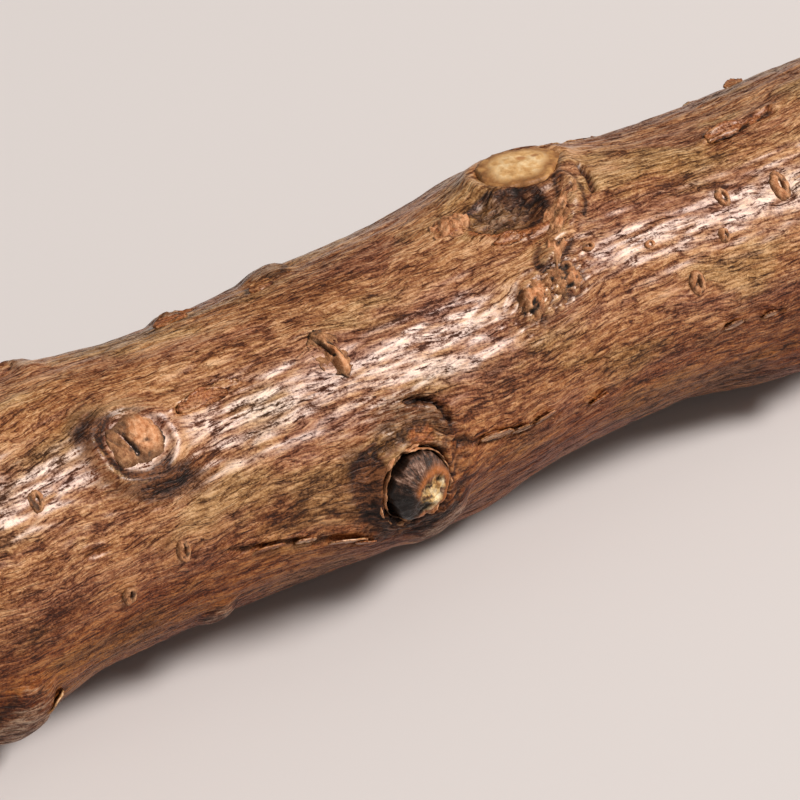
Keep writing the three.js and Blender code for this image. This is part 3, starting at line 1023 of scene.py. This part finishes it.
cut_face, p, q, share = pad("pruned_face", FACE_X, FACE_ANGLE, 4.7, 3.7, face_shape, 8, 80, 32, 1.2, 0.16)
FLECKS = [(1.0, 0.9, 0.5, 0.75, 0.55, 0, 1.5), (1.0, 2.2, 0.0, 0.5, 0.5, 0, 1.5)]
mark(cut_face, "edge", np.clip((share - 0.3) / 0.6, 0, 1) ** 1.2)
mark(cut_face, "fleck", spots(p, q, FLECKS))

# %% Cut wood material
# The open ends of the fibres swallow light: pale, matt, and darker where damp got in at the edge.
cut_finish, t = material("cut_twig_wood")
local = add(t, "Attribute", out="Vector", attribute_name="local")
edge, fleck = (add(t, "Attribute", out="Fac", attribute_name=n) for n in ("edge", "fleck"))
cloud = add(t, "TexNoise", {"Vector": local, "Scale": 0.9, "Detail": 5.0, "Roughness": 0.6})
pores = add(t, "TexNoise", {"Vector": local, "Scale": 5.0, "Detail": 2.0})
cream = add(t, "ValToRGB", {"Fac": cloud}, stops=[(0.3, "#a97842"), (0.64, "#ebcfa0"), (0.47, "#d3a971")])
ochre = add(t, "ValToRGB", {"Fac": cloud}, stops=[(0.32, "#6a4523"), (0.7, "#c1935a"), (0.5, "#99693a")])
inwards = add(t, "Math", {0: edge, 1: 0.6}, operation="SUBTRACT")
rimmed = add(t, "Math", {0: cloud, 1: 1.2, 2: inwards}, operation="MULTIPLY_ADD")
is_edge = add(t, "MapRange", {"Value": rimmed, "From Min": 0.35, "From Max": 0.65})
flecks = add(t, "Math", {0: fleck, 1: cloud}, operation="MULTIPLY")
is_fleck = add(t, "MapRange", {"Value": flecks, "From Min": 0.3, "From Max": 0.45, "To Max": 0.85})
cut = add(t, "Mix", {"Factor": is_edge, 6: cream, 7: ochre}, **COLOURS)
cut = add(t, "Mix", {"Factor": is_fleck, 6: cut, 7: rgb("#a9713f")}, **COLOURS)
pore_bumps = add(t, "Bump", {"Height": pores, "Strength": 0.5, "Distance": 0.08 * MM})
shader = add(t, "BsdfPrincipled", {"Base Color": cut, "Roughness": 0.55, "IOR": 1.45, "Normal": pore_bumps})
add(t, "OutputMaterial", {"Surface": shader})
finish_piece(cut_face, cut_finish)

# %% [markdown]
# ## The leaf scar's disc
# Two lobes of cork fill the seat: a smooth peach-coloured one towards the tip, and an olive-tan one with
# a slit towards the butt. A dark crevice parts them.

# %% Leaf scar
def scar_shape(p, q):
    smooth_lobe = 0.55 * spot(p, q, 0.95, 0.35, 1.9, 2.0, 0, 2)
    split_lobe = 0.4 * spot(p, q, -1.5, -0.2, 1.05, 1.7, 15, 2)
    slit = 0.4 * spot(p, q, -0.75, 0.2, 0.15, 1.2, 20, 1.5) + 0.25 * spot(p, q, -1.7, 0.3, 0.2, 0.9, 40, 1.5)
    return -0.42 + smooth_lobe + split_lobe - slit + 0.22 * rough(p, q, 0.9, 6)


scar, p, q, share = pad("leaf_scar", SCAR_X, SCAR_ANGLE, 3.0, 2.75, scar_shape, 0, 72, 32, 1.6, 0.26)
lobes = spots(p, q, [(1.0, 0.95, 0.35, 1.8, 1.9, 0, 3), (1.0, -1.5, -0.2, 1.0, 1.6, 15, 3)])
crevice = 0.55 * (1 - np.clip(lobes, 0, 1))
slits = [
    (0.9, -0.75, 0.2, 0.12, 1.1, 20, 2),
    (0.6, -1.7, 0.3, 0.14, 0.7, 40, 2),
    (0.8, 2.7, 0.0, 0.35, 1.6, 0, 2),
]
gaps = np.clip(-1.8 * rough(p, q, 0.9, 6) - 0.4, 0, 0.8)
mark(scar, "peach", 1.3 * spot(p, q, 1.05, 0.45, 1.5, 1.6, 0, 2) + 0.4 * rough(p, q, 1.1, 7))
mark(scar, "shade", crevice + spots(p, q, slits) + gaps + 0.8 * past(share, 0.84))
finish_piece(scar, cork_finish)

# %% [markdown]
# ## Bud scars
# Two bud scars side by side, crumbled lumps of cork with dark gaps under them. The lumps are a short list
# of hills, and fine curls follow their slopes, as the cork's layers do.

# %% Bud scars
LOBES = [
    # p, q, size, height
    (-2.9, 0.1, 0.75, 0.55), (-1.6, 0.35, 1.0, 0.9), (-2.1, -0.9, 0.65, 0.45), (-2.6, 1.0, 0.6, 0.4),
    (0.2, 0.7, 0.6, 0.35), (1.3, 0.75, 0.85, 0.65), (2.5, -0.25, 0.75, 0.75), (2.7, 1.0, 0.6, 0.5),
    (1.1, -0.75, 0.55, 0.4), (-0.3, -0.5, 0.5, 0.2),
]


def bud_shape(p, q):
    lumps = sum(h * spot(p, q, a, b, size, size, 0, 1.5) for a, b, size, h in LOBES)
    gap = 0.5 * spot(p, q, -0.4, -1.35, 1.7, 0.35, 12, 2)
    curls = 0.14 * np.sin(2 * pi * (lumps + 0.6 * rough(p, q, 1.2, 14)) / 0.34)
    return -0.2 + lumps - gap + curls + 0.3 * rough(p, q, 0.7, 12)


buds, p, q, share = pad("bud_scars", 9.0, 45.8, 4.3, 2.3, bud_shape, 4, 80, 30, 1.6, 0.2)
tops = spots(p, q, [(1.6, -1.6, 0.35, 0.95, 0.95), (1.2, 2.4, -0.2, 0.8, 0.8)])
gaps = np.clip(-3.4 * rough(p, q, 0.7, 12) - 0.3, 0, 1)
# The peach on the two highest lobes' tops is partly pale cork and partly painted highlight.
mark(buds, "peach", tops + 0.5 * rough(p, q, 0.8, 13))
mark(buds, "shade", spot(p, q, -0.4, -1.35, 1.8, 0.4, 12, 2) + gaps + past(share, 0.88))
finish_piece(buds, cork_finish)


# %% [markdown]
# ## The rusty lump and the scaly cord
# At the hollow's end the inner bark swelled into a rust-coloured lump, and a cord of scales runs from the
# pruned face down to the buds. Both are pads, one round and one long and narrow, with rough tops.

# %% Rusty lump and scaly cord
def lump_shape(p, q):
    return 0.25 + 0.5 * hill(np.hypot(p / 1.6, q / 1.1), 1, 1.5) - 0.3 + 0.34 * rough(p, q, 0.75, 31)


rusty_lump, p, q, share = pad("rusty_lump", 5.3, 91.0, 2.3, 1.6, lump_shape, -8, 64, 24, 1.4, 0.25)
gaps = np.clip(-2.4 * rough(p, q, 0.75, 31) - 0.35, 0, 1)
mark(rusty_lump, "peach", 0.6 + 0.5 * rough(p, q, 0.8, 32))
mark(rusty_lump, "shade", gaps + past(share, 0.84))
finish_piece(rusty_lump, cork_finish)


def scales(p, q):
    """Noise drawn out along the cord, on a slant."""
    return rough(0.45 * p + 0.2 * q, q, 0.6, 34, 4)


def cord_shape(p, q):
    return -0.12 + 0.5 * hill(q, 0.8, 1.5) + 0.42 * scales(p, q)


cord_pad, p, q, share = pad("scaly_cord", 14.3, 70.0, 5.2, 1.5, cord_shape, 44, 80, 28, 1.4, 0.3)
mark(cord_pad, "peach", 0.35 + 1.2 * rough(p, q, 1.0, 35))
mark(cord_pad, "shade", -2.2 * scales(p, q) - 0.1 + past(share, 0.8, 0.12))
finish_piece(cord_pad, cork_finish)


# %% [markdown]
# ## Healed knots
# Behind and near the ends, older twigs were lost so long ago that the bark has closed over them in rings,
# with a slit in the middle. The same shape is laid at four places and turned a little further each time.

# %% Healed knots behind and near the ends
def healed_shape(p, q):
    out = np.hypot(p, q)
    folds = 0.12 * np.sin(2 * pi * (out + 0.4 * rough(p, q, 1.6, 41)) / 0.9)
    slit = 0.8 * spot(p, q, 0, 0, 0.35, 1.5, 10, 2)
    return 0.35 * hill(out, 2.2, 2) - 0.15 + folds - slit + 0.15 * rough(p, q, 0.7, 42)


for number, (x, angle) in enumerate([(60.0, 205), (-58.0, 165), (-69.0, 40), (71.0, 75)]):
    healed, p, q, share = pad(
        f"healed_knot_{number + 1}", x, angle, 3.2, 3.0, healed_shape, 15 * number, 64, 26, 1.6, 0.2)
    gaps = np.clip(-2 * rough(p, q, 0.7, 42) - 0.3, 0, 1)
    ring = hill(np.hypot(p, q) - 1.6, 0.5)
    mark(healed, "peach", 0.4 * ring + 0.3 * np.clip(rough(p, q, 1.0, 43), 0, 1))
    mark(healed, "shade", spot(p, q, 0, 0, 0.5, 1.6, 10, 2) + gaps + past(share, 0.84))
    finish_piece(healed, cork_finish)


# %% [markdown]
# ## The long lenticel
# Lenticels let air through the bark. This one is a row of peach-coloured lobes across the branch, split
# down its middle, so it is a row of hills with two slits cut in it.

# %% Long lenticel
ROW_OF_LOBES = [(-0.1, 1.7), (0.15, 0.5), (0.2, -0.6), (0.1, -1.7)]


def long_shape(p, q):
    lobes = sum(spot(p, q, a, b, 0.55, 0.75, 0, 1.5) for a, b in ROW_OF_LOBES)
    slit = spot(p, q, -0.3, 0.6, 0.13, 1.1, 12, 2) + spot(p, q, 0.55, -0.1, 0.12, 0.9, 10, 2)
    return 0.05 + 0.5 * lobes - 0.5 * slit + 0.24 * rough(p, q, 0.7, 21)


long_lenticel, p, q, share = pad("long_lenticel", -12.05, 61.2, 1.75, 2.9, long_shape, 8, 64, 30, 1.4, 0.22)
slits = [(1.0, -0.3, 0.6, 0.17, 1.15, 12, 2), (1.0, 0.55, -0.1, 0.16, 0.95, 10, 2)]
gaps = np.clip(-2.2 * rough(p, q, 0.7, 21) - 0.3, 0, 0.9)
mark(long_lenticel, "peach", spot(p, q, 0.15, -0.9, 0.55, 1.7, 0, 1.6))
mark(long_lenticel, "shade", spots(p, q, slits) + gaps + past(share, 0.8))
finish_piece(long_lenticel, cork_finish)

# %% [markdown]
# ## Round lenticels
# The others are small ovals across the grain: a pale raised lip round a brown slit. They are the same
# shape at many places, so one function makes them all and they are joined into one piece. The front's are
# placed one by one, and the rest of the branch has random ones.

# %% Round lenticels
LENTICELS = [
    # x, angle, half length along, half length round
    (23.7, 26, 0.95, 1.35),
    (35.5, 52, 1.05, 1.75),
    (29.6, 55, 0.8, 1.25),
    (27.9, 40, 0.65, 0.85),
    (-30.8, 10, 0.75, 1.3),
    (-36.3, 1, 0.8, 1.0),
    (-42.1, 49, 0.8, 1.1),
    (14.7, 54, 0.75, 0.5),
    (20.4, 46, 0.7, 0.45),
]
chance = np.random.default_rng(5)
while len(LENTICELS) < 40:
    x, angle = chance.uniform(-84, 84), chance.uniform(-180, 180)
    seen = within(x, -50, 55, 1) * within(angle, -60, 140, 1)
    if seen < 0.5:
        size = chance.uniform(0.55, 0.95)
        LENTICELS.append((x, angle, size, size * chance.uniform(1.2, 1.7)))


def lenticel_shape(half_along, half_round, seed):
    """A raised lip with a slit across the branch."""
    def shape(p, q):
        out = np.hypot(p / half_along, q / half_round)
        slit = spot(p, q, 0.12 * half_along, 0, 0.16 * half_along, 0.5 * half_round, 0, 2)
        return 0.28 * hill(out - 0.45, 0.38, 1.5) - 0.3 * slit + 0.2 * rough(p, q, 0.55, seed)
    return shape


pads = []
for i, (x, angle, half_along, half_round) in enumerate(LENTICELS):
    shape = lenticel_shape(half_along, half_round, i)
    round_one, p, q, share = pad("lenticels", x, angle, half_along, half_round, shape, 0, 28, 12, 1.0, 0.2)
    out = np.hypot(p / half_along, q / half_round)
    slit = spot(p, q, 0.12 * half_along, 0, 0.17 * half_along, 0.5 * half_round, 0, 1.5)
    gaps = np.clip(-2.0 * rough(p, q, 0.55, i) - 0.3, 0, 0.8)
    mark(round_one, "peach", 0.8 * hill(out - 0.5, 0.35) * (0.7 + 0.3 * np.sin(i)))
    mark(round_one, "shade", 0.8 * slit + gaps + 0.7 * past(share, 0.82))
    pads.append(round_one)
lenticels = joined(pads, "lenticels")
finish_piece(lenticels, cork_finish)
print(len(LENTICELS), "round lenticels")

# %% [markdown]
# ## Loose flakes
# Where the outer bark has died it lifts in thin flakes, fixed along one edge. Each is a small grid laid on
# the bark with its far edge raised, given thickness by a solidify modifier. They carry the bark's own
# marks, so the grain runs on over them, with the inner bark's rust colour on some.

# %% Flakes
FLAKES = [
    # x, angle, length, width, lift, turn
    (-24.6, 61.5, 5.2, 1.5, 0.7, 4), (-22.0, 64.0, 3.0, 1.0, 0.5, -6), (-36.6, 112, 4.2, 2.0, 0.5, 5),
    (-20.6, 112, 3.4, 1.4, 0.4, 0), (-12.0, 108, 2.6, 1.2, 0.4, 10), (-15.2, -12, 3.4, 1.1, 0.7, -14),
    (-13.4, -16, 2.0, 1.0, 0.6, -20), (0.2, 6.5, 4.0, 1.0, 0.6, -12), (3.0, 3.2, 2.4, 0.9, 0.5, -10),
    (-22.6, -2.0, 3.0, 0.8, 0.5, -8), (-19.2, -5.0, 2.0, 0.8, 0.4, -10), (5.6, 2.2, 2.2, 0.9, 0.5, 0),
    (11.8, -4.2, 2.0, 1.0, 0.5, 5), (27.0, 3.2, 2.2, 1.1, 0.5, 5), (31.2, 2.0, 1.8, 0.9, 0.4, 0),
    (8.5, 71.5, 3.0, 1.0, 0.5, -14),
    (-43.4, -33.0, 2.4, 1.6, 0.8, 50), (39.6, -32.0, 2.4, 1.6, 0.7, 20), (34.5, 85, 4.0, 1.4, 0.6, 3),
]
chance = np.random.default_rng(8)
while len(FLAKES) < 67:
    x, angle = chance.uniform(-86, 86), chance.uniform(-180, 180)
    if within(x, -50, 55, 1) * within(angle, -60, 125, 1) < 0.5:
        length = chance.uniform(1.8, 5)
        width = length * chance.uniform(0.25, 0.5)
        lift, turn = chance.uniform(0.25, 0.6), chance.uniform(-15, 15)
        FLAKES.append((x, angle, length, width, lift, turn))

# %% Each flake's shape
FLAKE_THICKNESS = 0.14
flakes = []
for number, (x, angle, length, width, lift, turn) in enumerate(FLAKES):
    flake = sheet("bark_flakes", 9, 17)
    flat = np.array([v.co for v in flake.data.vertices])
    u, v = 2 * flat[:, 0], 2 * flat[:, 1]
    ragged = rough(u, v, 0.6, number, 3)
    p = 0.5 * length * u * (1 - 0.45 * v**2 * (0.5 + 0.5 * np.sin(number)))
    q = 0.5 * width * (v * (1 - 0.55 * u**4) + 0.35 * ragged)
    curl = np.clip(0.5 + 0.5 * v, 0, 1) ** 1.8 * (0.6 + 0.4 * np.cos(1.5 * u))
    high = 0.02 + lift * curl + 0.1 * ragged - 0.25 * (v < -0.7)
    along, across = turned(p, q, turn)
    round_to = radians(angle) + across / MEAN_REACH
    place(flake, bark_point(x + along, round_to, high))
    keep(flake, "grain", on_cylinder(x + along, round_to))
    mark(flake, "rust", 0.5 * (number % 3 == 0) + 0.5 * ragged)
    # The fixed edge, where the flake goes into the bark, is painted dark: painted shade.
    mark(flake, "dark", 0.9 * (v < -0.7))
    for name in ("furrow", "cork", "worn", "underside_shade"):
        mark(flake, name, np.zeros(len(u)))
    applied(flake, "SOLIDIFY", thickness=FLAKE_THICKNESS * MM, offset=0)
    flakes.append(flake)
flakes = joined(flakes, "bark_flakes")
turned_out(flakes)
finish_piece(flakes, bark_finish)
print(len(FLAKES), "flakes")

# %% [markdown]
# ## Torn ends
# The branch snapped across the grain at both ends. The wood broke in steps and splinters, so each end is a
# round sheet of wood whose height jumps between bundles of fibres, and separate splinters stand out of it.
# The wood is pale tan with darker growth rings, a brown pith, and grey weathered patches.

# %% Torn wood material
# Inner wood, torn and never polished: pale fibres with dull sides, greyed by rain in patches.
RING_TURNS = 38.0  # how far the sine wave turns from pith to bark, in radians: six growth rings
torn_finish, t = material("torn_dry_wood")
place_mm = add(t, "Attribute", out="Vector", attribute_name="local")
from_pith = add(t, "Attribute", out="Fac", attribute_name="from_pith")
fibre_places = add(t, "Mapping", {"Vector": place_mm, "Scale": (0.2, 2.2, 2.2)})
fibre = add(t, "TexNoise", {"Vector": fibre_places, "Scale": 1.0, "Detail": 5.0, "Roughness": 0.6})
blotch = add(t, "TexNoise", {"Vector": place_mm, "Scale": 0.3, "Detail": 3.0})
pale = add(t, "ValToRGB", {"Fac": fibre}, stops=[
    (0.3, "#7d4b2a"), (0.72, "#f4dcba"), (0.41, "#c69468"), (0.54, "#e3bd92")])
old = add(t, "ValToRGB", {"Fac": fibre}, stops=[(0.3, "#5f4231"), (0.72, "#d3bda6"), (0.5, "#a88a70")])
ring = add(t, "Math", {0: from_pith, 1: RING_TURNS}, operation="MULTIPLY")
ring = add(t, "Math", {0: ring}, operation="SINE")
ring = add(t, "MapRange", {"Value": ring, "From Min": 0.2, "From Max": 1.0, "To Min": 1.0, "To Max": 0.62})
ring = add(t, "CombineColor", {"Red": ring, "Green": ring, "Blue": ring})
is_old = add(t, "MapRange", {"Value": blotch, "From Min": 0.54, "From Max": 0.7})
is_pith = add(t, "MapRange", {
    "Value": from_pith, "From Min": 0.06, "From Max": 0.12, "To Min": 0.9, "To Max": 0.0})
wood = add(t, "Mix", {"Factor": is_old, 6: pale, 7: old}, **COLOURS)
wood = add(t, "Mix", {"Factor": 1.0, 6: wood, 7: ring}, blend_type="MULTIPLY", **COLOURS)
wood = add(t, "Mix", {"Factor": is_pith, 6: wood, 7: rgb("#4a2d18")}, **COLOURS)
fibre_bumps = add(t, "Bump", {"Height": fibre, "Strength": 0.9, "Distance": 0.2 * MM})
shader = add(t, "BsdfPrincipled", {"Base Color": wood, "Roughness": 0.7, "IOR": 1.45, "Normal": fibre_bumps})
add(t, "OutputMaterial", {"Surface": shader})
print("torn wood material:", len(t.nodes), "nodes")

# %% [markdown]
# ## Torn faces
# Half a sphere is a disc with rings and spokes, like the end of a log. Each vertex is pushed along the
# branch by a height that jumps between bundles of fibres. Its rim lies just under the bark.


# %% Torn faces
WOOD_SHARE = 0.915  # how far out the wood goes, as a share of the way to the bark's surface


def torn_height(end, angle, share):
    """How far the torn wood stands out of the bark's rim at one place, in mm."""
    a, b = share * np.cos(angle) * 13, share * np.sin(angle) * 13
    steps = rough(a, b, 3.4, 51 + end, 2)
    fibres = rough(a, b, 0.75, 53 + end, 3)
    sunk = 3.2 * np.clip((share - 0.78) / 0.22, 0, 1) ** 2  # the rim lies under the bark
    return 1.2 + 3.6 * np.round(2.4 * steps) / 2.4 + 0.9 * fibres - sunk


def end_x(end, angle, share):
    """The x of the torn face of one end: -1 is the butt, 1 is the tip."""
    rim = BUTT if end < 0 else TIP
    shifted = rim_shift(np.full(len(angle), float(rim)), angle)
    return rim + shifted * share + end * torn_height(end, angle, share)


def torn_face(end, name):
    """The round face of torn wood at one end."""
    made, angle, share = disc("torn_wood_" + name, 144, 56)
    points = bark_point(end_x(end, angle, share), angle, 0, WOOD_SHARE * share)
    place(made, points)
    keep(made, "local", points)
    keep(made, "from_pith", share)
    turned_out(made)
    finish_piece(made, torn_finish)


# %% [markdown]
# ## Splinters
# Torn fibres stand out of both faces. One tapered blank is copied, and each copy is stretched, bent and
# leaned in its own way, by random numbers from a fixed seed. A particle system would be quicker to set up,
# but it isn't a mesh.


# %% Both ends, each with its splinters
SPLINTERS = 46
ROOT_DEPTH = 1.5


def splinter(blank, end, number, chance):
    """A copy of the blank, standing out of one torn face."""
    made = blank.copy()
    made.data = blank.data.copy()
    bpy.context.collection.objects.link(made)
    cone = np.array([v.co for v in made.data.vertices])
    up = cone[:, 2] + 0.5
    length, width = chance.uniform(3.0, 7.0), chance.uniform(0.45, 1.1)
    at, out_share = chance.uniform(-pi, pi), chance.uniform(0.15, 0.86)
    lean, bend = chance.uniform(-0.12, 0.12, 2), chance.uniform(-0.6, 0.6, 2)
    foot_x = end_x(end, np.array([at]), np.array([out_share]))[0] - end * ROOT_DEPTH
    foot = bark_point(foot_x, at, 0, WOOD_SHARE * out_share)
    wobble = 1 + 0.35 * rough(3 * up, np.arctan2(cone[:, 1], cone[:, 0]), 0.8, number, 3)
    torn_tip = 1 + 0.35 * up * rough(2 * cone[:, 0], 2 * cone[:, 1], 0.5, number + 9, 2)
    x = foot[0] + end * length * up * torn_tip
    y = foot[1] + width * wobble * cone[:, 0] + lean[0] * length * up + bend[0] * up**2
    z = foot[2] + 0.45 * width * wobble * cone[:, 1] + lean[1] * length * up + bend[1] * up**2
    points = np.stack([x, y, z], axis=1)
    place(made, points)
    keep(made, "local", points + number)
    keep(made, "from_pith", np.full(len(x), out_share))
    return made


for end, name in [(-1, "butt"), (1, "tip")]:
    torn_face(end, name)
    bpy.ops.mesh.primitive_cone_add(vertices=10, radius1=1, radius2=0.35, depth=1)
    blank = bpy.context.object
    bpy.ops.object.mode_set(mode="EDIT")
    bpy.ops.mesh.select_all(action="SELECT")
    bpy.ops.mesh.subdivide(number_cuts=5)
    bpy.ops.object.mode_set(mode="OBJECT")
    chance = np.random.default_rng(30 + end)
    splinters = [splinter(blank, end, number, chance) for number in range(SPLINTERS)]
    bpy.data.objects.remove(blank)
    splinters = joined(splinters, "splinters_" + name)
    turned_out(splinters)
    finish_piece(splinters, torn_finish)

# %% [markdown]
# ## Floor
# A plain pale ground, far larger than the view, so that no edge of it shows. It isn't part of the branch.

# %% Floor
bpy.ops.mesh.primitive_plane_add(size=8)
floor = bpy.context.object
floor.name = "floor"
floor_finish, t = material("pale_floor")
shader = add(t, "BsdfPrincipled", {"Base Color": rgb("#d3d2d3"), "Roughness": 0.9})
add(t, "OutputMaterial", {"Surface": shader})
floor.data.materials.append(floor_finish)
print("floor:", [round(side, 1) for side in floor.dimensions[:2]], "m")

# %% [markdown]
# ## Camera
# A long lens looks down at the branch from the front, on the butt's side, so that the branch crosses the
# picture and runs out of it at both sides. It is given as a direction and a distance from what it aims at.

# %% Camera
VIEW_AZIMUTH, VIEW_ELEVATION = -36, 35
VIEW_DISTANCE = 385
AIM = Vector((-0.14, -1.26, 12.1))
a, e = radians(VIEW_AZIMUTH), radians(VIEW_ELEVATION)
back = Vector((np.sin(a) * np.cos(e), -np.cos(a) * np.cos(e), np.sin(e)))
lens = bpy.data.cameras.new("camera")
lens.lens, lens.sensor_width = 200, 36
lens.clip_start, lens.clip_end = 0.02, 20
camera = bpy.data.objects.new("camera", lens)
camera.location = (AIM + back * VIEW_DISTANCE) * MM
camera.rotation_mode = "QUATERNION"
camera.rotation_quaternion = (-back).to_track_quat("-Z", "Y")
bpy.context.collection.objects.link(camera)
bpy.context.scene.camera = camera
print("camera", VIEW_DISTANCE, "mm from", [round(v, 1) for v in AIM])

# %% [markdown]
# ## Lights
# One lamp high in front, on the tip's side, makes the waxy streak along the bark. A broad weak one overhead
# opens the shadows a little, and the pale room lights the rest.

# %% Lights
def lamp(name, towards, distance, width, depth, power, code):
    """A soft rectangular lamp in the given direction from the branch, aimed at it."""
    made = bpy.data.objects.new(name, bpy.data.lights.new(name, "AREA"))
    made.data.shape = "RECTANGLE"
    made.data.size, made.data.size_y = width, depth
    made.data.energy, made.data.color = power, rgb(code)[:3]
    way = Vector(towards).normalized()
    made.location = way * distance
    made.rotation_mode = "QUATERNION"
    made.rotation_quaternion = (-way).to_track_quat("-Z", "Y")
    bpy.context.collection.objects.link(made)
    return made


lamp("key", (0.48, -0.45, 0.75), 2.0, 0.72, 0.5, 46, "#fff5ee")
lamp("sky", (-0.4, -0.35, 1.0), 2.2, 1.8, 1.8, 3, "#fff5ec")
surroundings = bpy.data.worlds.new("pale_room")
surroundings.use_nodes = True
t = surroundings.node_tree
t.nodes.clear()
add(t, "OutputWorld", {"Surface": add(t, "Background", {"Color": rgb("#f0e8e1"), "Strength": 0.30})})
bpy.context.scene.world = surroundings
bpy.context.scene.view_settings.view_transform = "Standard"
print("lights:", [made.name for made in bpy.data.lights])
